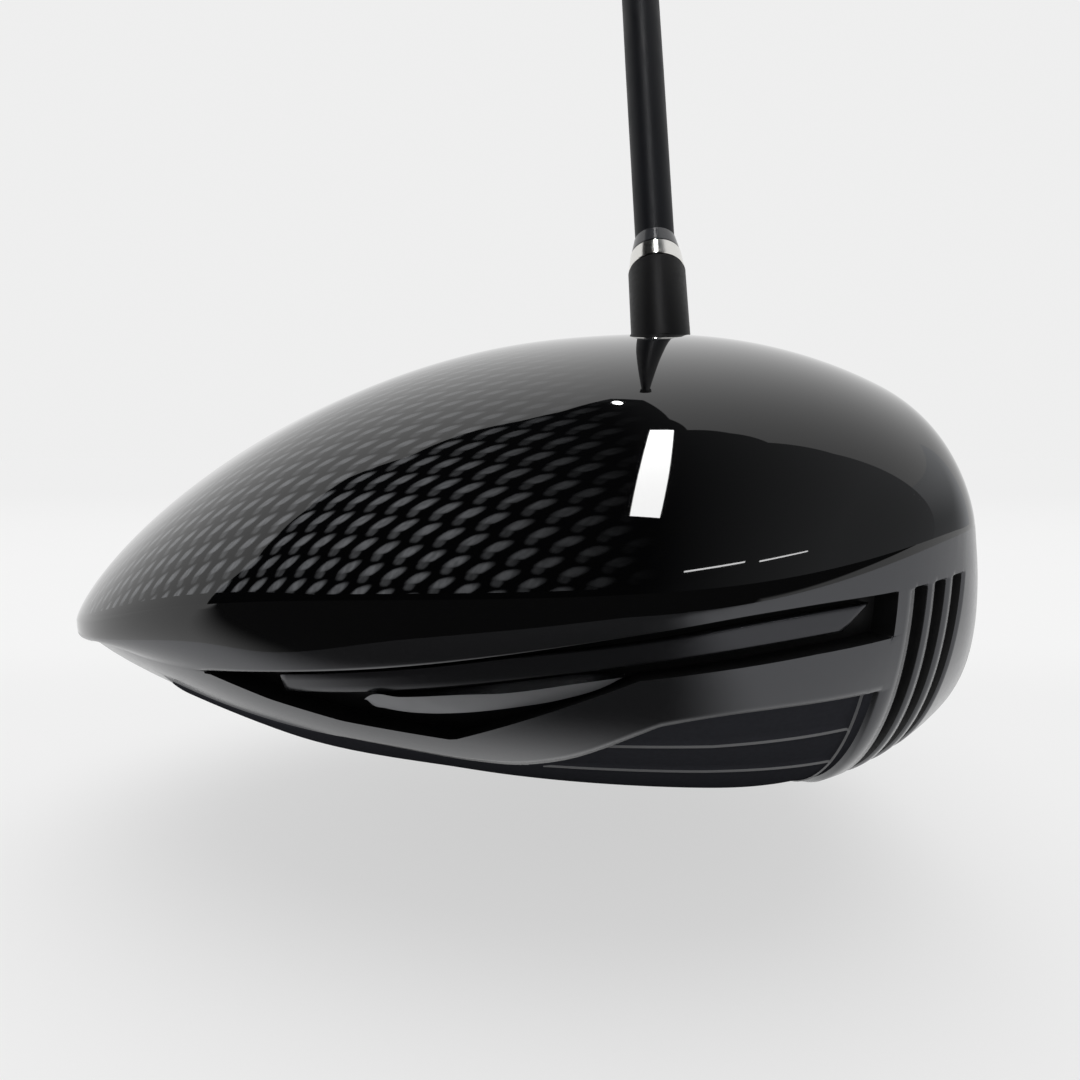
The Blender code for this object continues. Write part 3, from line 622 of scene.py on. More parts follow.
# Neck: a sleeve round the shaft axis that flows into the head
NECK_COLUMNS = 96
NECK_ROWS = 14
NECK_RISE = 1.2
FLARE = 5.0
LEAST_FLARE = 1.7
FLARE_LEAST_TURN = math.radians(75.0)
SKIN_OVERLAP = 0.15
LIP_EASE = 0.3
HOSEL_LIP = (
    (BORE_FOOT, BORE_RADIUS), (HOSEL_TOP - LIP_EASE, BORE_RADIUS), (HOSEL_TOP, HOSEL_RADIUS - LIP_EASE),
    (HOSEL_TOP, HOSEL_RADIUS), (HOSEL_TOP - 2 * LIP_EASE, HOSEL_RADIUS),
)
STATION_STEP = 0.1
LOWEST_STATION = 10.0


def on_shaft(station, radius, turn):
    """Points at stations along the shaft axis, radii off it and turns round it."""
    station, radius, turn = (value[..., None] for value in np.broadcast_arrays(station, radius, turn))
    out = SHAFT_SIDE * np.cos(turn) + SHAFT_UP * np.sin(turn)
    return SHAFT_FOOT + SHAFT_WAY * station + out * radius


def meets_head(radius, turn):
    """Station where a line along the shaft axis, coming down, first meets the head."""
    stations = np.arange(HOSEL_TOP, LOWEST_STATION, -STATION_STEP)
    hit = in_head(on_shaft(stations[:, None], radius, turn))
    return stations[np.where(hit.any(axis=0), hit.argmax(axis=0), len(stations) - 1)]


def neck():
    """Points and faces of the hosel above the skin of the head, with the mouth of its bore."""
    turn = turns(NECK_COLUMNS)
    flare = LEAST_FLARE + (FLARE - LEAST_FLARE) * (1 - np.cos(turn - FLARE_LEAST_TURN)) / 2
    root = meets_head(HOSEL_RADIUS, turn)
    foot = meets_head(HOSEL_RADIUS + flare, turn)
    t = np.linspace(0, 1, NECK_ROWS)[:, None]
    start, end = root + NECK_RISE * flare, foot - SKIN_OVERLAP
    station = start * (1 - t) ** 2 + 2 * root * t * (1 - t) + end * t**2
    lip = np.repeat(np.array(HOSEL_LIP)[:, :, None], NECK_COLUMNS, axis=2)
    station = np.concatenate((lip[:, 0], station))
    radius = np.concatenate((lip[:, 1], HOSEL_RADIUS + flare * t**2))
    points = on_shaft(station, radius, turn)
    return points, grid_faces(len(points), NECK_COLUMNS, wrap=True)[:, ::-1]


# Holes in the skin: the port of the bolt and the pocket of the weight
SMALL_STEP = 0.01
ON_LINE = 0.05
HEAD_SHARP = 62


def port(where):
    """Distance outside the port, near the sole."""
    rel = where - SHAFT_FOOT
    station = rel @ SHAFT_WAY
    off = np.linalg.norm(rel - station[..., None] * SHAFT_WAY, axis=-1) - PORT_RADIUS
    return np.where(np.abs(station) < PORT_REACH, off, FAR)


def pocket(where):
    """Distance outside the pocket of the weight, near the sole."""
    rel = where - WEIGHT_PLACE
    beyond = np.maximum(np.abs(rel @ WEIGHT_LONG) - (WEIGHT_HALF_LONG - WEIGHT_HALF_SHORT), 0)
    off = np.hypot(beyond, rel @ WEIGHT_SHORT) - WEIGHT_HALF_SHORT - WEIGHT_GAP
    return np.where(np.abs(rel @ WEIGHT_AXIS) < POCKET_REACH, off, FAR)


def snap(points, normals, axis, distance):
    """Grid points moved onto the line where distance is 0, along the skin, and the distances after that."""
    d = distance(points)
    marked = np.zeros(d.shape, bool)
    for step in ((slice(None, -1), slice(None)), (slice(None), slice(None, -1))):
        other = tuple(slice(1, None) if part.stop == -1 else part for part in step)
        crosses = d[step] * d[other] < 0
        nearer = np.abs(d[step]) <= np.abs(d[other])
        marked[step] |= crosses & nearer
        marked[other] |= crosses & ~nearer
    slope = [(distance(points + SMALL_STEP * unit) - d) / SMALL_STEP for unit in np.eye(3)]
    slope = np.stack(slope, axis=-1)
    shift = -slope / np.maximum((slope**2).sum(axis=-1, keepdims=True), TINY) * d[..., None]
    lift = (shift * normals).sum(axis=-1) / (normals * axis).sum(axis=-1)
    shift = shift - lift[..., None] * axis
    return np.where(marked[..., None], points + shift, points), np.where(marked, 0.0, d)


def cut_faces(faces, d):
    """Faces outside a line of distance 0, and their numbers; a quad cut corner to corner keeps one half."""
    d = d.reshape(-1)
    kept, came_from = [], []
    for number, face in enumerate(faces.tolist()):
        values = [d[k] for k in face]
        if max(values) <= 0:
            continue
        if min(values) < 0:
            k = values.index(min(values))
            face = [face[(k + 1) % 4], face[(k + 2) % 4], face[(k + 3) % 4]]
        kept.append(face)
        came_from.append(number)
    return kept, came_from


def close_hole(mesh, distance, place, axis, end, finish):
    """A wall along an axis, from the open edges on a line of distance 0 to an end, and a floor there."""

    def on_line(vertex):
        return abs(float(distance(np.array(vertex.co) / MM))) < ON_LINE

    def close(bm):
        edges = [e for e in bm.edges if e.is_boundary and all(on_line(v) for v in e.verts)]
        made = bmesh.ops.extrude_edge_only(bm, edges=edges)["geom"]
        rim = of_kind(made, bmesh.types.BMVert)
        for vertex in rim:
            station = (np.array(vertex.co) / MM - place) @ axis
            vertex.co += Vector(axis * (end - station) * MM)
        ends = [e for e in of_kind(made, bmesh.types.BMEdge) if e.is_boundary]
        ends = [e for e in ends if all(v in rim for v in e.verts)]
        new = of_kind(made, bmesh.types.BMFace)
        new += bmesh.ops.edgeloop_fill(bm, edges=ends)["faces"]
        for face in new:
            face.material_index = finish
        bmesh.ops.recalc_face_normals(bm, faces=new)

    edit_mesh(mesh, close, HEAD_SHARP)


# Finishes
WHITE = (1.0, 1.0, 1.0, 1.0)
CLEAR_COAT = {"Coat_Weight": 1.0, "Coat_Roughness": 0.02, "Coat_IOR": 1.5, "Specular_IOR_Level": 0.0}
NOISE_SPAN = (0.25, 0.75)
BUMP_DISTANCE = 0.0001


def add_node(tree, kind, **inputs):
    """A shader node: a lower-case name is a setting, _0 an input's number, any other an input's name."""
    made = tree.nodes.new("ShaderNode" + kind)
    for name, value in inputs.items():
        if name[0].islower():
            setattr(made, name, value)
            continue
        socket = made.inputs[int(name[1:]) if name[0] == "_" else name.replace("_", " ")]
        if isinstance(value, bpy.types.NodeSocket):
            tree.links.new(value, socket)
        else:
            socket.default_value = value
    return made


def math_node(tree, operation, first, second=0.0, third=0.0):
    return add_node(tree, "Math", operation=operation, _0=first, _1=second, _2=third).outputs[0]


def ramp_node(tree, value, span, levels=(0.0, 1.0)):
    """A value that goes smoothly from one level to another over a span of the input."""
    made = add_node(tree, "MapRange", interpolation_type="SMOOTHSTEP", Value=value, From_Min=span[0])
    made.inputs["From Max"].default_value = span[1]
    made.inputs["To Min"].default_value, made.inputs["To Max"].default_value = levels
    return made.outputs[0]


def mix_colour(tree, share, first, second):
    return add_node(tree, "Mix", data_type="RGBA", _0=share, _6=first, _7=second).outputs[2]


def own_place(tree):
    return add_node(tree, "TexCoord").outputs["Object"]


def own_mm(tree, axis):
    """One of the object's own coordinates, in millimetres."""
    apart = add_node(tree, "SeparateXYZ", Vector=own_place(tree))
    return math_node(tree, "MULTIPLY", apart.outputs[axis], 1 / MM)


def noise(tree, scale, detail=3.0, stretch=None):
    """A noise over the object's own coordinates, in metres, stretched along an axis if need be."""
    where = own_place(tree)
    if stretch:
        where = add_node(tree, "VectorMath", operation="MULTIPLY", _0=where, _1=stretch).outputs[0]
    return add_node(tree, "TexNoise", Vector=where, Scale=scale, Detail=detail).outputs["Fac"]


def shade(colour, factor):
    return tuple(c * factor for c in colour) + (1.0,)


def new_finish(name, **sockets):
    finish = bpy.data.materials.new(name)
    finish.use_nodes = True
    shader = finish.node_tree.nodes["Principled BSDF"]
    for socket, value in sockets.items():
        shader.inputs[socket.replace("_", " ")].default_value = value
    return finish, finish.node_tree, shader


def grained(name, colour, spread, rough, grain, bump=0.0, stretch=None, **sockets):
    """A finish with its colour and roughness varied by a noise, and a bump from the same noise."""
    finish, tree, shader = new_finish(name, **sockets)
    pattern = noise(tree, grain, stretch=stretch)
    tone = mix_colour(tree, pattern, shade(colour, 1 - spread), shade(colour, 1 + spread))
    tree.links.new(tone, shader.inputs["Base Color"])
    tree.links.new(ramp_node(tree, pattern, NOISE_SPAN, rough), shader.inputs["Roughness"])
    if bump:
        raised = add_node(tree, "Bump", Strength=bump, Distance=BUMP_DISTANCE, Height=pattern)
        tree.links.new(raised.outputs[0], shader.inputs["Normal"])
    return finish


def glowing(name, level, colour=WHITE):
    """A finish that only glows, its node tree and its glow."""
    finish, tree, shader = new_finish(name)
    tree.nodes.remove(shader)
    glow = add_node(tree, "Emission", Color=colour, Strength=level)
    tree.links.new(glow.outputs[0], tree.nodes["Material Output"].inputs[0])
    return finish, tree, glow


# Weave of the crown, in millimetres: rows of tows along x, each row set half a period on from the last
TOW_ROW = 1.43
TOW_PERIOD = 4.68
WEAVE_ORIGIN = (-41.2, -65.6)
FLOAT_HALF = (1.75, 0.52)
FLOAT_POWERS = (1.35, 2.0)
FLOAT_EDGE = (0.2, 1.1)
CROSSING_ORIGIN = (-42.45, -65.99)
CROSSING_HALF = (0.9, 0.5)
CROSSING_SHARE = 0.4
FIBRE_GRAIN = 900.0
FIBRE_DETAIL = 4.0
FIBRE_STRETCH = (1.0, 6.0, 1.0)
FIBRE_SPAN = (0.3, 0.7)
FIBRE_LEVELS = (0.6, 1.0)
WEAVE_FADE = (-36.0, -10.0)
# Painted shade: the floats' sheen dims between these heights, to these levels, higher up the crown.
WEAVE_SHEEN_DIM_HEIGHTS = (34.0, 50.0)
WEAVE_SHEEN_DIM_LEVELS = (1.0, 0.5)
WEAVE_ROUGH = (0.5, 0.35)
WEAVE_DARK = (0.0012, 0.0012, 0.0014, 1.0)
# Colour of the floats: the cloth's pattern, lightened as a painted sheen of the tows.
WEAVE_PAINTED_SHEEN = (0.19, 0.195, 0.205, 1.0)


def floats(tree, along, across, origin, half):
    """1 in the middle of the floats of a lattice through an origin, 0 outside them."""
    along = math_node(tree, "MULTIPLY_ADD", along, 1 / TOW_PERIOD, 0.5 - origin[0] / TOW_PERIOD)
    across = math_node(tree, "MULTIPLY_ADD", across, 1 / TOW_ROW, 0.5 - origin[1] / TOW_ROW)
    along = math_node(tree, "MULTIPLY_ADD", math_node(tree, "FLOOR", across), 0.5, along)
    parts = []
    for value, pitch, reach, power in zip((along, across), (TOW_PERIOD, TOW_ROW), half, FLOAT_POWERS):
        off = math_node(tree, "SUBTRACT", math_node(tree, "FRACT", value), 0.5)
        off = math_node(tree, "ABSOLUTE", math_node(tree, "MULTIPLY", off, pitch / reach))
        parts.append(math_node(tree, "POWER", off, power))
    return ramp_node(tree, math_node(tree, "ADD", *parts), FLOAT_EDGE, (1.0, 0.0))


def woven_finish():
    """Clear-coated black with the floats of a carbon cloth showing towards the rear, lighter in a painted
    sheen.
    """
    finish, tree, shader = new_finish("crown_carbon", **CLEAR_COAT)
    lay = add_node(tree, "Attribute", attribute_name="lay").outputs["Vector"]
    along, across, rearward = add_node(tree, "SeparateXYZ", Vector=lay).outputs
    # The floats mark where the cloth's pattern takes its painted sheen, brightest in their middles.
    lit = floats(tree, along, across, WEAVE_ORIGIN, FLOAT_HALF)
    faint = floats(tree, along, across, CROSSING_ORIGIN, CROSSING_HALF)
    lit = math_node(tree, "MAXIMUM", lit, math_node(tree, "MULTIPLY", faint, CROSSING_SHARE))
    fibres = ramp_node(tree, noise(tree, FIBRE_GRAIN, FIBRE_DETAIL, FIBRE_STRETCH), FIBRE_SPAN, FIBRE_LEVELS)
    lit = math_node(tree, "MULTIPLY", lit, fibres)
    # Painted shade: the sheen of the floats dims higher up the crown.
    high = ramp_node(tree, own_mm(tree, 2), WEAVE_SHEEN_DIM_HEIGHTS, WEAVE_SHEEN_DIM_LEVELS)
    seen = math_node(tree, "MULTIPLY", ramp_node(tree, rearward, WEAVE_FADE, (1.0, 0.0)), high)
    tone = mix_colour(tree, math_node(tree, "MULTIPLY", lit, seen), WEAVE_DARK, WEAVE_PAINTED_SHEEN)
    tree.links.new(tone, shader.inputs["Base Color"])
    tree.links.new(ramp_node(tree, lit, (0.0, 1.0), WEAVE_ROUGH), shader.inputs["Roughness"])
    return finish


CROWN_CARBON = woven_finish()
BLACK_GLOSS = grained("black_gloss", (0.0015, 0.0015, 0.0017), 0.3, (0.25, 0.3), 900, **CLEAR_COAT)
GRAPHITE = grained("graphite_paint", (0.085, 0.0865, 0.092), 0.04, (0.17, 0.21), 1400, Metallic=0.85)
RECESS_BLACK = grained(
    "recess_black", (0.009, 0.009, 0.0095), 0.3, (0.45, 0.55), 1500, 0.1, Specular_IOR_Level=0.2
)
RAIL_GREY = grained("rail_grey", (0.055, 0.056, 0.061), 0.05, (0.2, 0.25), 1400, Metallic=0.8)
SOLE_NAVY = grained(
    "sole_navy", (0.055, 0.0565, 0.066), 0.12, (0.45, 0.55), 1800, 0.1, Specular_IOR_Level=0.0
)
# Painted highlight: the sole panel's ribs are lighter, standing for their edges catching light.
SOLE_RIB_HIGHLIGHT = grained("sole_rib_highlight", (0.27, 0.272, 0.28), 0.08, (0.35, 0.42), 1800, 0.05, Specular_IOR_Level=0.3)
RING_BRIGHT = grained("bright_ring", (0.78, 0.77, 0.74), 0.04, (0.12, 0.18), 900, Metallic=1.0)
CHROME = grained("bright_trim", (0.55, 0.555, 0.57), 0.04, (0.2, 0.26), 700, Metallic=1.0)
TRIM_SATIN = grained("satin_trim", (0.36, 0.365, 0.38), 0.04, (0.36, 0.44), 700, Metallic=0.45)
FACE_METAL = grained(
    "face_metal", (0.16, 0.16, 0.165), 0.15, (0.3, 0.42), 900, 0.2, (1.0, 1.0, 14.0), Metallic=1.0
)
WEIGHT_METAL = grained("weight_metal", (0.2, 0.2, 0.21), 0.1, (0.3, 0.42), 1400, 0.15, Metallic=1.0)
FASTENER = grained("fastener_steel", (0.28, 0.28, 0.29), 0.12, (0.25, 0.36), 1600, 0.1, Metallic=1.0)
SLEEVE_BLACK = grained(
    "sleeve_black", (0.004, 0.004, 0.0045), 0.3, (0.4, 0.48), 1200, Specular_IOR_Level=0.08
)
FERRULE_GREY = grained("ferrule_grey", (0.03, 0.031, 0.035), 0.1, (0.16, 0.22), 1600)
SHAFT_BLACK = grained(
    "shaft_black", (0.006, 0.0066, 0.009), 0.25, (0.4, 0.48), 500, 0.0, (1.0, 0.2, 0.2),
    Specular_IOR_Level=0.08,
)
TAPE = grained("grip_tape", (0.5, 0.47, 0.4), 0.1, (0.6, 0.75), 900, 0.2)
RUBBER = grained("grip_rubber", (0.018, 0.018, 0.019), 0.2, (0.6, 0.75), 2600, 0.35)
FLOOR_PALE = grained("floor_pale", (0.3, 0.3, 0.3), 0.01, (0.85, 0.95), 30, Specular_IOR_Level=0.0)


# Pieces turned about the shaft axis, as stations and radii
TURNED_COLUMNS = 96
TURNED_SHARP = 32
SHAFT_STEPS = 6
SLEEVE_PROFILE = (
    (31.0, 0.0), (31.0, 5.1), (31.3, 5.4), (77.35, 5.4), (77.35, 6.25), (77.55, 6.45), (99.1, 6.45),
    (99.4, 6.3), (99.5, 6.05), (99.5, 0.0),
)
RING_PROFILE = (
    (99.85, 4.7), (99.85, 6.15), (99.95, 6.3), (104.1, 5.8), (104.2, 5.65), (104.2, 4.7), (99.85, 4.7),
)
FERRULE_PROFILE = ((104.55, 4.6), (104.55, 5.5), (104.65, 5.6), (108.5, 4.8), (108.6, 4.7), (108.6, 4.5))
SHAFT_PROFILE = (
    (48.0, 0.0), (48.0, 4.45), (100.0, 4.45), (165.0, 4.85), (1100.0, 7.6), (1149.0, 7.6), (1149.0, 0.0),
)
CAP_PROFILE = (
    (1149.35, 0.0), (1149.35, 12.9), (1149.5, 13.1), (1152.0, 13.1), (1153.6, 12.7), (1154.8, 12.0),
    (1155.6, 10.6), (1156.0, 9.0), (1156.0, 0.0),
)

# Grip: a tapered sleeve with rows of short moulded grooves
GRIP_PROFILE = ((886.0, 9.3), (1020.0, 11.2), (1129.0, 12.7), (1149.0, 13.2))
GRIP_MOUTH = 8.1
GRIP_EASE = 0.4
GRIP_FIRST_ROW = 1.2
GRIP_ROW = 0.9
GRIP_COLUMNS = 120
GRIP_SHARP = 40
GROOVE_PITCH = 5.4
GROOVES_ROUND = 15
GROOVE_DEPTH = 0.4
GROOVE_HALF_SHARES = (0.3, 0.38)
GROOVE_WALL_SHARES = (0.14, 0.1)
GRIP_PLAIN_ENDS = (898.0, 1136.0)


def turned(name, profile, finish, columns=TURNED_COLUMNS, sharp=TURNED_SHARP, shape=None):
    """A piece turned about the shaft axis from stations and radii; a radius of 0 closes an end."""
    station, radius = (np.array(column, float)[:, None] for column in zip(*profile))
    turn = turns(columns)
    if shape:
        radius = shape(station, turn, radius)
    points = on_shaft(station, radius, turn)
    return add_mesh(name, points, grid_faces(len(points), columns, wrap=True), finish, sharp=sharp)


def eased(profile, steps):
    """The profile with each straight run cut into steps."""
    out = [profile[0]]
    for (s0, r0), (s1, r1) in zip(profile, profile[1:]):
        out += [(s0 + (s1 - s0) * k / steps, r0 + (r1 - r0) * k / steps) for k in range(1, steps + 1)]
    return out


def build_shaft():
    shaft_profile = eased(SHAFT_PROFILE, SHAFT_STEPS)
    for name, profile, finish, slot, node in (
        ("sleeve_collar", SLEEVE_PROFILE, SLEEVE_BLACK, "sleeve_black", "hosel_sleeve"),
        ("bright_ring", RING_PROFILE, RING_BRIGHT, "bright", "ferrule_ring"),
        ("ferrule_cone", FERRULE_PROFILE, FERRULE_GREY, "ferrule_grey", "ferrule"),
        ("shaft_tube", shaft_profile, SHAFT_BLACK, "shaft_black", "shaft"),
        ("grip_butt", CAP_PROFILE, RUBBER, "grip_rubber", "grip_cap"),
    ):
        wear(turned(name, profile, finish), "shaft_assembly", node)


def grooved(station, turn, radius):
    """The radius of the grip, less its grooves."""
    row = np.floor(station / GROOVE_PITCH)
    in_row = np.abs(station / GROOVE_PITCH - row - 0.5)
    dash = np.abs((turn * GROOVES_ROUND / FULL_TURN + row * 0.5) % 1 - 0.5)
    groove = (station > GRIP_PLAIN_ENDS[0]) & (station < GRIP_PLAIN_ENDS[1])
    for off, half, wall in zip((in_row, dash), GROOVE_HALF_SHARES, GROOVE_WALL_SHARES):
        groove = groove * ramp((half - off) / wall)
    return radius - GROOVE_DEPTH * groove


def build_grip():
    (start, first), (end, last) = GRIP_PROFILE[0], GRIP_PROFILE[-1]
    radius_at = line(GRIP_PROFILE)
    profile = [(start, GRIP_MOUTH), (start, first - GRIP_EASE), (start + GRIP_EASE, first)]
    profile += [(s, radius_at(s)) for s in np.arange(start + GRIP_FIRST_ROW, end, GRIP_ROW)]
    profile += [(end, last), (end, GRIP_MOUTH)]
    sleeve = turned("grip_sleeve", profile, RUBBER, GRIP_COLUMNS, GRIP_SHARP, grooved)
    wear(sleeve, "shaft_assembly", "grip")


# Rails: a strip standing in each recess, from its tail to a slanted end
RAIL_TAIL = -49.0
RAIL_SETBACK = 2.1
RAIL_SLANT = 1.15
RAIL_COLUMNS = 96
RAIL_ENDS_SHARE = 0.006
RAIL_STEPS = (0.0, 0.0, 0.03, 0.1, 0.35, 0.65, 0.9, 0.97, 1.0, 1.0)
RAIL_ROUND = 0.25
RAIL_FOOT_DEPTH = 2.38
RAIL_EDGE_DEPTHS = (RAIL_FOOT_DEPTH, RAIL_DEPTH + RAIL_ROUND)
RAIL_LEAST = 0.05


def rail(side):
    """Points and faces of the rail on one side."""
    fall = (*RAIL_EDGE_DEPTHS, RAIL_DEPTH + RAIL_ROUND / 3, RAIL_DEPTH, RAIL_DEPTH)
    across = np.array(fall + fall[::-1])[:, None]
    along = np.linspace(RAIL_ENDS_SHARE, 1 - RAIL_ENDS_SHARE, RAIL_COLUMNS - 4)
    along = np.concatenate(((0.0, 0.0), along, (1.0, 1.0)))
    ends = np.full(RAIL_COLUMNS, RAIL_DEPTH)
    ends[:2] = RAIL_EDGE_DEPTHS
    ends[-2:] = RAIL_EDGE_DEPTHS[::-1]
    share = np.array(RAIL_STEPS)[:, None]
    end = RECESS_END[side]
    last = end - RAIL_SETBACK - RAIL_SLANT * (rail_top_at(end) - rail_low_at(end)) * share
    x = RAIL_TAIL + (last - RAIL_TAIL) * along
    top = rail_top_at(x)
    z = top + (np.minimum(rail_low_at(x), top - RAIL_LEAST) - top) * share
    skin = skin_at(x, z, side)
    normals = np.pad(grid_normals(skin[1:-1, 1:-1]), ((1, 1), (1, 1), (0, 0)), mode="edge")
    points = sink(skin, normals * np.sign(normals[..., 1:2] * side), np.maximum(across, ends))
    faces = grid_faces(*points.shape[:2])
    return points, faces if side == HEEL else faces[:, ::-1]


# Pieces of the head; the numbers of its finishes are their places in the lists given to add_mesh
GLOSS_NUMBER = 1
RECESS_NUMBER = 2
RAIL_NUMBER = 3
POCKET_NUMBER = 1
RIB_HIGHLIGHT_NUMBER = 2
LEAST_SUNK = 0.15
LEAST_SLOT = 0.35
RECESS_MARGIN = 0.2
COLLAR_MARGIN = 0.5


def body_numbers(raw, depth, quads):
    """Finish number of each quad of the lower half of the head."""
    rows, columns = raw.shape[:2]
    x, _, z = raw.reshape(-1, 3)[quads[:, 0]].T
    row = quads[:, 0] // columns
    sunk = depth.reshape(-1)[quads].mean(axis=1)
    numbers = np.zeros(len(quads), int)
    on_roll = (row < SPLITS[HEEL][0]) | (row >= rows - 1 - SPLITS[TOE][0])
    numbers[on_roll & (x < GLOSS_END_X)] = GLOSS_NUMBER
    recess = (sunk > LEAST_SUNK) & (z > recess_low_at(x) - RECESS_MARGIN) & (x < FRONT_COLLAR_X)
    slots = (sunk > LEAST_SLOT) & (x > FRONT_COLLAR_X + COLLAR_MARGIN)
    numbers[recess | slots] = RECESS_NUMBER
    return numbers


def build_sole_panel(points, faces, ribs):
    finishes = (SOLE_NAVY, RECESS_BLACK, SOLE_RIB_HIGHLIGHT)
    # The ribs take the lighter finish, a painted highlight where their edges catch light.
    panel = add_mesh("sole_panel_skin", *compact(points, faces), *finishes, numbers=RIB_HIGHLIGHT_NUMBER * ribs)
    close_hole(panel.data, pocket, WEIGHT_PLACE, WEIGHT_AXIS, POCKET_DEPTH, POCKET_NUMBER)
    wear(panel, "head", "sole_panel")


def build_body(points, faces, numbers, crown, normals):
    """The lower half, the band of the crown round its panel, the neck and the rails as one shell."""
    points, faces = compact(points, faces)
    tuck = crown[-1] - TUCK * (np.array((0, 0, 1)) + normals[-1])
    band = np.concatenate((crown, tuck[None]))
    patches = [(band, grid_faces(len(band), CROWN_COLUMNS, wrap=True), GLOSS_NUMBER)]
    patches += [(*neck(), GLOSS_NUMBER), (*rail(TOE), RAIL_NUMBER), (*rail(HEEL), RAIL_NUMBER)]
    numbers = list(numbers)
    for patch, patch_faces, number in patches:
        faces += (patch_faces + len(points)).tolist()
        numbers += [number] * len(patch_faces)
        points = np.concatenate((points, patch.reshape(-1, 3)))
    finishes = (GRAPHITE, BLACK_GLOSS, RECESS_BLACK, RAIL_GREY)
    body = add_mesh("head_shell", points, faces, *finishes, numbers=numbers)
    close_hole(body.data, port, SHAFT_FOOT, SHAFT_WAY, PORT_END, RECESS_NUMBER)
    bend_over(body.data, crown, normals)
    wear(body, "head", "head_body")


def build_crown_panel(crown, normals):
    tip = crown.size // 3
    faces = grid_faces(PANEL_ROWS, CROWN_COLUMNS, wrap=True).tolist()
    faces += [[tip, (k + 1) % CROWN_COLUMNS, k] for k in range(CROWN_COLUMNS)]
    cap = add_mesh("crown_skin", np.append(crown, APEX), faces, CROWN_CARBON)
    add_marks(cap.data, "lay", "FLOAT_VECTOR", "vector", np.append(lay_of(crown), (0, 0, 0)))
    bend_over(cap.data, crown, normals)
    wear(cap, "head", "crown_panel")


def build_head():
    raw, points, normals, depth, marks = lower_head()
    points, port_off = snap(points, normals, SHAFT_WAY, port)
    points, pocket_off = snap(points, normals, WEIGHT_AXIS, pocket)
    quads = grid_faces(*points.shape[:2])
    faces, came_from = cut_faces(quads, np.minimum(port_off, pocket_off))
    quads = quads[came_from]
    marks = marks.reshape(-1)[quads].min(axis=1)
    numbers = body_numbers(raw, depth, quads)
    panel_faces = [face for face, mark in zip(faces, marks) if mark]
    body_faces = [face for face, mark in zip(faces, marks) if not mark]
    crown, crown_normals = crown_grid()
    build_sole_panel(points, panel_faces, marks[marks > 0] > 1)
    panel, band = slice(PANEL_ROWS), slice(PANEL_ROWS - 1, None)
    build_body(points, body_faces, numbers[marks == 0], crown[band], crown_normals[band])
    build_crown_panel(crown[panel], crown_normals[panel])


# Bright trims in the recesses: the heights of their low edge, ridge and high edge over x, and their depths
TRIM_LOW = (
    (-39.2, 19.9), (-38.7, 19.25), (-37.3, 18.9), (-35.7, 18.7), (-32.5, 18.75), (-28.9, 19.25),
    (-23.8, 20.4), (-19.5, 21.6), (-15.0, 23.5), (-13.4, 24.55),
)
TRIM_RIDGE = (
    (-39.2, 20.0), (-38.6, 20.5), (-35.3, 20.75), (-28.5, 21.7), (-24.8, 22.15), (-17.7, 23.7),
    (-13.4, 24.6),
)
TRIM_HIGH = (
    (-39.2, 20.05), (-38.6, 20.6), (-36.0, 20.9), (-29.1, 22.2), (-21.4, 23.75), (-17.8, 24.45),
    (-13.4, 24.65),
)
TRIM_COLUMNS = 90
TRIM_SPLITS = (10, 5)
TRIM_DEPTHS = (0.95, 0.65, 1.5)
TRIM_FOOT_DEPTH = 2.36
TRIM_NORMAL_STEP = 0.2
TRIM_SHARP = 30


def trim(name, node, side):
    """An insert with a satin low face and a polished upper facet and walls."""
    share = 0.5 - 0.5 * np.cos(np.linspace(0, math.pi, TRIM_COLUMNS))
    x = TRIM_HIGH[0][0] + (TRIM_HIGH[-1][0] - TRIM_HIGH[0][0]) * share
    low, ridge, high = (curve(points)(x) for points in (TRIM_LOW, TRIM_RIDGE, TRIM_HIGH))
    place = [np.linspace(k, k + 1, split, endpoint=False) for k, split in enumerate(TRIM_SPLITS)]
    place = np.concatenate((*place, (2.0,)))
    rise, fall = np.minimum(place, 1)[:, None], np.maximum(place - 1, 0)[:, None]
    skin = skin_at(x, low + (ridge - low) * rise + (high - ridge) * fall, side)
    normals = grid_normals(skin_at(x, low + TRIM_NORMAL_STEP * np.arange(len(place))[:, None], side))
    normals = normals * np.sign(normals[..., 1:2] * side)
    top = sink(skin, normals, np.interp(place, (0, 1, 2), TRIM_DEPTHS)[:, None])
    foot = sink(skin, normals, TRIM_FOOT_DEPTH)
    points = np.concatenate((foot[:1], top, foot[-1:]))
    faces = grid_faces(*points.shape[:2])
    polished = np.arange(len(faces)) // (TRIM_COLUMNS - 1) > TRIM_SPLITS[0]
    faces = faces if side == TOE else faces[:, ::-1]
    piece = add_mesh(name, points, faces, TRIM_SATIN, CHROME, numbers=polished, sharp=TRIM_SHARP)
    wear(piece, "head", node)


# Face plate: a grid over y and z, cut to its outline, with score lines beside a clear middle
PLATE_HALF_WIDTH = 41.0
PLATE_HALF_HEIGHT = 17.5
PLATE_POWER = 2.4
PLATE_THICKNESS = 3.0
PLATE_STEP = 1.0
PLATE_MARGIN = 1.0
PLATE_SHARP = 40
SCORE_PITCH = 4.0
SCORE_HALF_WIDTH = 0.4
SCORE_FLOOR = 0.15
SCORE_DEPTH = 0.35
SCORE_SPAN = (11.0, 33.0)
SCORE_COUNT = 4
SCORE_END = 1.0
SCORE_CLEAR = (2.5, 3.0)


def front_at(y, z):
    """x of the front skin of the head at y and z."""

    def within(x):
        covered = SOLE.covers(x, y) & CROWN.covers(x, y)
        return covered & (z > SOLE.height(x, y)) & (z < CROWN.height(x, y))

    return behind_face(np.stack((bisect(0.0, FACE_END_X, within), y, z), axis=-1))[..., 0]


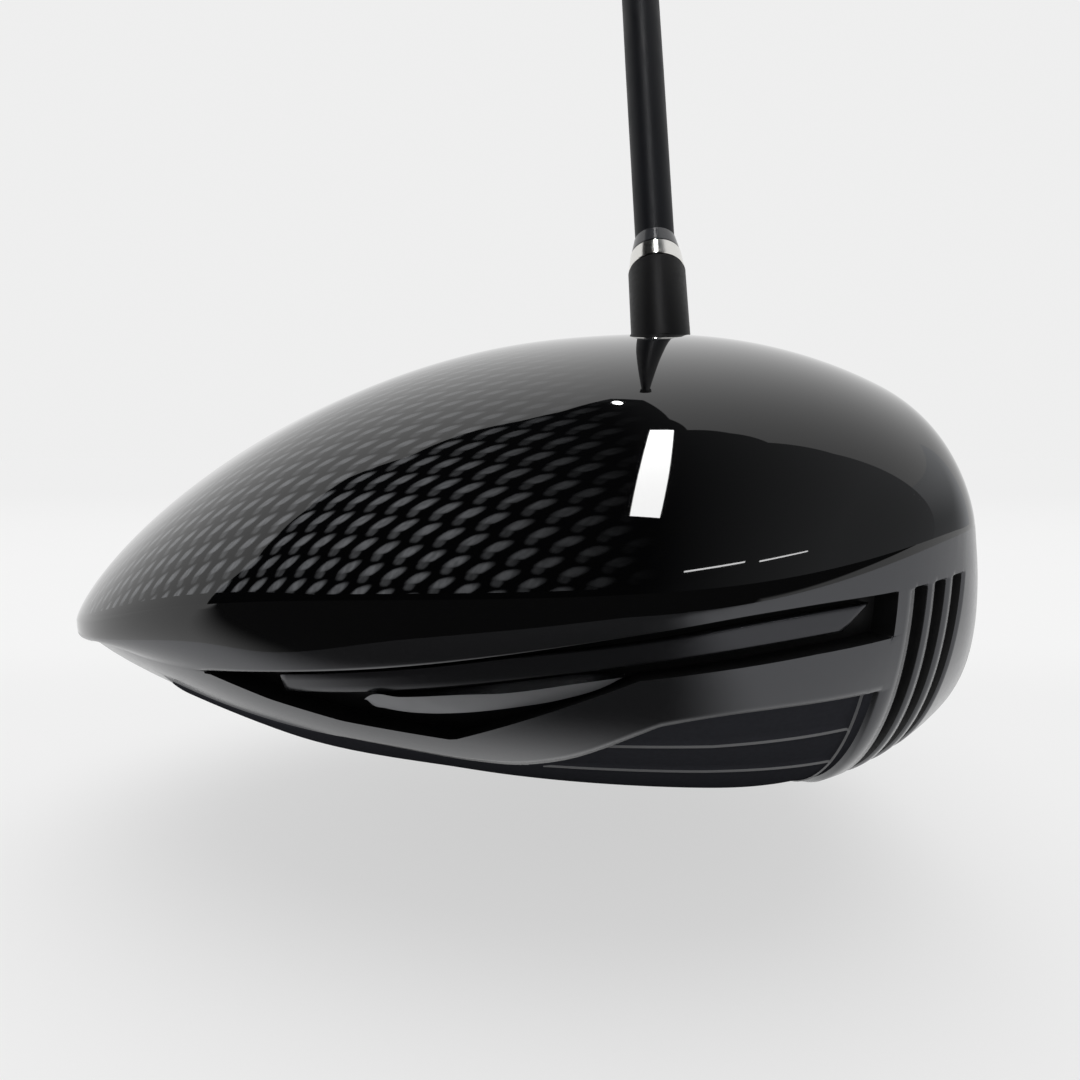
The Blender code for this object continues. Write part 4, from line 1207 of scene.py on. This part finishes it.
def outside_plate(where):
    """Distance outside the outline of the face plate, about its middle."""
    parts = np.abs(where[..., 1:] / (PLATE_HALF_WIDTH, PLATE_HALF_HEIGHT)) ** PLATE_POWER
    return (parts.sum(axis=-1) ** (1 / PLATE_POWER) - 1) * PLATE_HALF_HEIGHT


def score_depth(y, z, inward):
    """Depth of the score lines at y and z from the plate's middle; inward is the distance to its edge."""
    off = np.abs((z + SCORE_PITCH / 2) % SCORE_PITCH - SCORE_PITCH / 2)
    score = np.clip((SCORE_HALF_WIDTH - off) / (SCORE_HALF_WIDTH - SCORE_FLOOR), 0, 1)
    score = score * (np.abs(z) < SCORE_COUNT * SCORE_PITCH + SCORE_END)
    score = score * np.clip(np.abs(y) - SCORE_SPAN[0], 0, 1) * np.clip(SCORE_SPAN[1] - np.abs(y), 0, 1)
    return SCORE_DEPTH * score * np.clip((inward - SCORE_CLEAR[0]) / (SCORE_CLEAR[1] - SCORE_CLEAR[0]), 0, 1)


def wall_back(bm):
    """Walls from the open edges of the plate, back to its thickness."""
    made = bmesh.ops.extrude_edge_only(bm, edges=[e for e in bm.edges if e.is_boundary])["geom"]
    for vertex in of_kind(made, bmesh.types.BMVert):
        vertex.co.x -= PLATE_THICKNESS * MM
    face_out(bm)


def build_face_plate():
    lines = np.arange(-SCORE_COUNT, SCORE_COUNT + 1) * SCORE_PITCH
    offs = (-SCORE_HALF_WIDTH, -SCORE_FLOOR, SCORE_FLOOR, SCORE_HALF_WIDTH)
    z = [middle + off for middle in lines for off in offs]
    z += [middle + SCORE_PITCH * k / 4 for middle in (*lines, lines[0] - SCORE_PITCH) for k in (1, 2, 3)]
    z = np.sort([value for value in z if abs(value) < PLATE_HALF_HEIGHT + PLATE_MARGIN])
    reach = PLATE_HALF_WIDTH + PLATE_MARGIN
    y, z = np.meshgrid(np.arange(-reach, reach + PLATE_STEP / 2, PLATE_STEP), z)
    ahead = np.array((1.0, 0.0, 0.0))
    flat = np.stack((0 * y, y, z), axis=-1)
    flat, off = snap(flat, np.broadcast_to(ahead, flat.shape), ahead, outside_plate)
    _, y, z = np.moveaxis(flat, -1, 0)
    x = front_at(y, z + FACE_Z) - score_depth(y, z, -off)
    faces, _ = cut_faces(grid_faces(*y.shape), -off)
    points, faces = compact(np.stack((x, y, z + FACE_Z), axis=-1), faces)
    plate = add_mesh("face_skin", points, faces, FACE_METAL)
    edit_mesh(plate.data, wall_back, PLATE_SHARP)
    wear(plate, "head", "face_plate")


# Rear weight, its screw and the hosel bolt, as depths along their axes and radii or insets
SOCKET_LOBES = 6
SOCKET_RADIUS = 2.0
SOCKET_WAVE = 0.32
SOCKET_DEPTH = 1.6
SOCKET_DRAFT = 0.1
SOCKET_EASE = 0.15
ROUND_TURN = turns(96)
RUN_ONSET = 4.0
WEIGHT_BORE = ((6.0, 2.9), (3.2, 2.9), (3.2, 4.4), (0.4, 4.4), (0.0, 4.8))
WEIGHT_RIM = ((0.0, 1.2), (0.15, 0.7), (0.5, 0.25), (1.1, 0.0), (6.0, 0.0))
SCREW_PROFILE = ((0.7, 3.6), (1.0, 4.0), (3.0, 4.0), (3.0, 2.4), (11.5, 2.4), (12.0, 1.9))
BOLT_PROFILE = ((17.5, 3.6), (17.8, 4.0), (22.0, 4.0), (22.0, 2.5), (43.5, 2.5), (44.0, 2.0))


def ring(base, depth, radius, run=0.0):
    """Points round an axis at a depth, drawn out by a run; base is the place, axis, side and up."""
    place, axis, side, up = base
    ahead = np.cos(ROUND_TURN)
    along = ahead * radius + run * np.sign(ahead) * np.minimum(1, RUN_ONSET * np.abs(ahead))
    across = np.sin(ROUND_TURN) * radius
    return place + axis * depth + side * along[:, None] + up * across[:, None]


def lofted(name, rings, finish):
    """A piece through rings of points, turned outwards."""
    faces = grid_faces(len(rings), len(ROUND_TURN), wrap=True)
    piece = add_mesh(name, np.concatenate(rings), faces, finish)
    edit_mesh(piece.data, face_out, TURNED_SHARP)
    return piece


def build_rear_weight():
    base = (WEIGHT_PLACE, WEIGHT_AXIS, WEIGHT_LONG, WEIGHT_SHORT)
    rings = [ring(base, depth, radius) for depth, radius in WEIGHT_BORE]
    run = WEIGHT_HALF_LONG - WEIGHT_HALF_SHORT
    rings += [ring(base, depth, WEIGHT_HALF_SHORT - inset, run) for depth, inset in WEIGHT_RIM]
    rings.append(rings[0])
    wear(lofted("weight_block", rings, WEIGHT_METAL), "rear_weight", "rear_weight")


def build_screw(name, place, axis, side, profile, node):
    """A screw along an axis from depth and radius pairs, with a six-lobed socket in its head."""
    base = (place, axis, side, np.cross(axis, side))
    lobes = SOCKET_RADIUS + SOCKET_WAVE * np.cos(SOCKET_LOBES * ROUND_TURN)
    start, end = profile[0][0], profile[-1][0]
    socket = [(start + SOCKET_DEPTH, 0.0), (start + SOCKET_DEPTH, lobes - SOCKET_DRAFT)]
    socket += [(start + SOCKET_EASE, lobes), (start, lobes + SOCKET_EASE)]
    rings = [ring(base, depth, radius) for depth, radius in (*socket, *profile, (end, 0.0))]
    wear(lofted(name, rings, FASTENER), node, node)


# Stage
FLOOR_Z = -10.0
FLOOR_HALF = 6000.0
FLOOR_GLOW = (0.59, 0.62)
FLOOR_RISE = (65.0, 135.0)
FLOOR_FADE = (150.0, 1200.0)
FLOOR_FADE_LEVELS = (1.0, 0.92)
PALE = (0.86, 0.86, 0.86, 1.0)
FILL_SHARE = 0.577
SUN_LEVEL = 1.5
SUN_ANGLE = math.radians(70.0)


def add_card(name, low, high, z, finish):
    """A level card between two corners."""
    (x0, y0), (x1, y1) = low, high
    return add_mesh(name, [(x0, y0, z), (x1, y0, z), (x1, y1, z), (x0, y1, z)], [(0, 1, 2, 3)], finish)


def seen_share(tree):
    """1 for what the camera sees, straight, in gloss or through a clear thing, 0 for what only lights."""
    rays = add_node(tree, "LightPath").outputs
    seen = math_node(tree, "MAXIMUM", rays["Is Camera Ray"], rays["Is Glossy Ray"])
    return math_node(tree, "MAXIMUM", seen, rays["Is Transmission Ray"])


def build_world():
    world = bpy.data.worlds.new("studio")
    bpy.context.scene.world = world
    world.use_nodes = True
    tree = world.node_tree
    background = tree.nodes["Background"]
    background.inputs["Color"].default_value = PALE
    level = math_node(tree, "MULTIPLY_ADD", seen_share(tree), 1 - FILL_SHARE, FILL_SHARE)
    tree.links.new(level, background.inputs["Strength"])


def build_floor():
    """A floor that looks pale to the camera and in reflections, and keeps part of the object's shadow."""
    tree = FLOOR_PALE.node_tree
    shader = tree.nodes["Principled BSDF"]
    shader.inputs["Emission Color"].default_value = WHITE
    depth = own_mm(tree, 1)
    glow = ramp_node(tree, depth, FLOOR_RISE, FLOOR_GLOW)
    glow = math_node(tree, "MULTIPLY", glow, ramp_node(tree, depth, FLOOR_FADE, FLOOR_FADE_LEVELS))
    tree.links.new(math_node(tree, "MULTIPLY", seen_share(tree), glow), shader.inputs["Emission Strength"])
    add_card("floor", (-FLOOR_HALF, -FLOOR_HALF), (FLOOR_HALF, FLOOR_HALF), FLOOR_Z, FLOOR_PALE)


# Dark room in front and overhead: the elevation over the azimuth, from -Y towards +X, above which it is dark
WALL_TOP = (
    (-180.0, 60.0), (-174.0, 57.5), (-161.0, 60.4), (-151.0, 60.2), (-142.0, 58.0), (-132.0, 56.3),
    (-123.0, 55.0), (-115.0, 48.5), (-99.5, 42.4), (-89.0, 34.4), (-80.0, 24.0), (-76.0, -12.0),
    (90.0, -12.0), (92.0, 20.0), (94.0, 58.0), (101.0, 72.8), (130.0, 77.0), (163.0, 78.8), (175.0, 72.0),
    (180.0, 60.0),
)
ROOM_SPANS = ((-180, -77, 53), (-76, 90, 40), (91, 180, 90))
ROOM_ROWS = 30
ROOM_TOP = QUARTER_TURN - 0.001
ROOM_RADIUS = 2500.0
ROOM_CENTRE = np.array((-20.0, 0.0, 45.0))
ROOM_TINT = (0.95, 0.97, 1.0, 1.0)
ROOM_LEVELS = (0.012, 0.36)
ROOM_RIGHT = (-0.1, 0.7)
SIDE_WALL = ((88.0, 128.0), (-12.0, 30.0))
SIDE_STEPS = 21
SIDE_LEVELS = (0.4, 0.8)
SIDE_REARWARD = (100.0, 128.0)
SIDE_UPWARD = (5.0, 30.0)


def only_in_gloss(piece):
    """The piece is on the stage, and only reflections show it."""
    for ray in ("camera", "diffuse", "shadow", "transmission", "volume_scatter"):
        setattr(piece, "visible_" + ray, False)


def room_patch(name, azimuth, elevation, glow):
    """A patch of the room's shell over a grid of azimuths and elevations, with the level of its glow."""
    level = np.cos(elevation)
    way = np.stack((np.sin(azimuth) * level, -np.cos(azimuth) * level, np.sin(elevation)), axis=-1)
    finish, tree, light = glowing(name, 1.0, ROOM_TINT)
    strength = add_node(tree, "Attribute", attribute_name="glow").outputs["Fac"]
    tree.links.new(strength, light.inputs["Strength"])
    patch = add_mesh(name, ROOM_CENTRE + way * ROOM_RADIUS, grid_faces(*way.shape[:2]), finish)
    way = np.array([vertex.co for vertex in patch.data.vertices]) / MM - ROOM_CENTRE
    add_marks(patch.data, "glow", "FLOAT", "value", glow(way / ROOM_RADIUS))
    only_in_gloss(patch)


def room_glow(way):
    """Level of the room: dark in front and to the left, grey to the right."""
    return np.interp(way[:, 0], ROOM_RIGHT, ROOM_LEVELS)


def side_glow(way):
    """Level of the wall on the right: grey, and paler upwards and to the rear."""
    rearward = fade(np.degrees(np.arctan2(way[:, 0], -way[:, 1])), SIDE_REARWARD)
    upward = fade(np.degrees(np.arcsin(way[:, 2])), SIDE_UPWARD)
    return np.interp(np.maximum(rearward, upward), (0, 1), SIDE_LEVELS)


def build_room():
    azimuth = np.concatenate([np.linspace(*span) for span in ROOM_SPANS])
    low = np.radians(line(WALL_TOP)(azimuth))
    elevation = low + (ROOM_TOP - low) * np.linspace(0, 1, ROOM_ROWS)[:, None]
    room_patch("dark_room", np.broadcast_to(np.radians(azimuth), elevation.shape), elevation, room_glow)
    azimuth, elevation = np.meshgrid(*(np.radians(np.linspace(*span, SIDE_STEPS)) for span in SIDE_WALL))
    room_patch("side_wall", azimuth, elevation, side_glow)


# Shade on the floor in front: where it is dark in reflections, left of the right-hand light
SHADE_LEVEL = 0.045
SHADE_RIGHT = (-8.0, 12.0)
SHADE_FRONT = (-180.0, -150.0)
SHADE_FRONT_SLOPE = 1.45
SHADE_FRONT_MOST = 170.0
SHADE_BACK = (-54.0, -30.0)
SHADE_BEND_X = -61.0
SHADE_BEND_SLOPE = 0.255
SHADE_UNDER = ((-38.0, 26.0), (6.0, 20.0))
SHADE_UNDER_EDGE = (0.7, 1.15)
SHADE_CORNERS = ((-2500.0, -2500.0), (2500.0, 40.0))
SHADE_LIFT = 1.0


def build_front_shade():
    finish, tree, dark = glowing("front_shade", SHADE_LEVEL)
    x, y = own_mm(tree, 0), own_mm(tree, 1)
    slant = math_node(tree, "MULTIPLY", x, SHADE_FRONT_SLOPE)
    slant = math_node(tree, "MINIMUM", slant, SHADE_FRONT_MOST)
    front = ramp_node(tree, math_node(tree, "ADD", y, slant), SHADE_FRONT)
    clear = math_node(tree, "MINIMUM", ramp_node(tree, x, SHADE_RIGHT), front)
    beyond = math_node(tree, "MAXIMUM", math_node(tree, "SUBTRACT", SHADE_BEND_X, x), 0.0)
    back = ramp_node(tree, math_node(tree, "MULTIPLY_ADD", beyond, SHADE_BEND_SLOPE, y), SHADE_BACK)
    clear = math_node(tree, "MAXIMUM", clear, back)
    parts = []
    for value, (middle, reach) in zip((x, y), SHADE_UNDER):
        parts.append(math_node(tree, "MULTIPLY_ADD", value, 1 / reach, -middle / reach))
    off = add_node(tree, "CombineXYZ", X=parts[0], Y=parts[1])
    off = add_node(tree, "VectorMath", operation="LENGTH", _0=off.outputs[0]).outputs["Value"]
    clear = math_node(tree, "MINIMUM", clear, ramp_node(tree, off, SHADE_UNDER_EDGE))
    through = add_node(tree, "BsdfTransparent")
    mixed = add_node(tree, "MixShader", Fac=clear, _1=dark.outputs[0], _2=through.outputs[0])
    tree.links.new(mixed.outputs[0], tree.nodes["Material Output"].inputs[0])
    only_in_gloss(add_card("front_shade", *SHADE_CORNERS, FLOOR_Z + SHADE_LIFT, finish))


# Lamps that show only in reflections, as the corners of bright cards, and a soft sun
CEILING_Z = 1000.0
CEILING_LAMP = ((-45.0, 170.0), (10.0, 154.0), (-136.0, -1003.0), (-253.0, -904.0))
CEILING_LEVEL = 22.0
FRONT_LAMP_Y = -400.0
FRONT_LAMPS = (((-3.0, 88.0), (96.0, 105.0)), ((125.0, 101.0), (250.0, 124.0)))
FRONT_LAMP_HEIGHT = 6.0
FRONT_LAMP_LEVEL = 14.0
BACK_LAMP = (-51.0, 307.0, 653.0)
BACK_LAMP_HALF = (7.0, 28.0)
BACK_LAMP_SIDES = 16
BACK_LAMP_LEVEL = 25.0


def lamp_card(name, corners, level):
    finish, _, _ = glowing(name, level)
    only_in_gloss(add_mesh(name, corners, [range(len(corners))], finish))


def build_lamps():
    lamp_card("ceiling_lamp", [(x, y, CEILING_Z) for x, y in CEILING_LAMP], CEILING_LEVEL)
    for number, ((x0, z0), (x1, z1)) in enumerate(FRONT_LAMPS):
        corners = ((x0, z0), (x1, z1), (x1, z1 + FRONT_LAMP_HEIGHT), (x0, z0 + FRONT_LAMP_HEIGHT))
        lamp_card(f"front_lamp_{number}", [(x, FRONT_LAMP_Y, z) for x, z in corners], FRONT_LAMP_LEVEL)
    x, y, z = BACK_LAMP
    across, up = BACK_LAMP_HALF
    corners = [(x + across * math.cos(turn), y, z + up * math.sin(turn)) for turn in turns(BACK_LAMP_SIDES)]
    lamp_card("back_lamp", corners, BACK_LAMP_LEVEL)
    sun = bpy.data.lights.new("soft_sun", "SUN")
    sun.energy = SUN_LEVEL
    sun.angle = SUN_ANGLE
    add_object("soft_sun", sun).visible_glossy = False


# Camera at the photograph's place
CAMERA_PLACE = (-20.3, -148.3, 45.2)
CAMERA_PITCH = math.radians(5.14)
CAMERA_YAW = math.radians(-0.43)
CAMERA_SENSOR = 36.0
CAMERA_LENS = 100 / 3
CAMERA_CLIP = (0.005, 50.0)


def build_camera():
    camera = bpy.data.cameras.new("camera")
    camera.lens = CAMERA_LENS
    camera.sensor_width = CAMERA_SENSOR
    camera.clip_start, camera.clip_end = CAMERA_CLIP
    holder = add_object("camera", camera)
    level = math.cos(CAMERA_PITCH)
    way = Vector((math.sin(CAMERA_YAW) * level, math.cos(CAMERA_YAW) * level, -math.sin(CAMERA_PITCH)))
    turn = way.to_track_quat("-Z", "Y").to_matrix().to_4x4()
    holder.matrix_world = Matrix.Translation(Vector(CAMERA_PLACE) * MM) @ turn
    bpy.context.scene.camera = holder


build_shaft()
build_head()
trim("toe_accent", "toe_trim", TOE)
trim("heel_accent", "heel_trim", HEEL)
build_face_plate()
build_rear_weight()
build_screw("weight_screw", WEIGHT_PLACE, WEIGHT_AXIS, WEIGHT_LONG, SCREW_PROFILE, "rear_weight_screw")
build_screw("sleeve_bolt", SHAFT_FOOT, SHAFT_WAY, SHAFT_SIDE, BOLT_PROFILE, "hosel_bolt")
build_grip()

# Hidden nodes keep the part's solids
for node, finish in (("bolt_washer", FASTENER), ("bolt_retainer", RUBBER), ("grip_tape", TAPE)):
    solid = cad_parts[node]
    solid.data.materials.clear()
    solid.data.materials.append(finish)

build_world()
build_floor()
build_room()
build_front_shade()
build_lamps()
build_camera()
bpy.context.scene.view_settings.view_transform = "Standard"
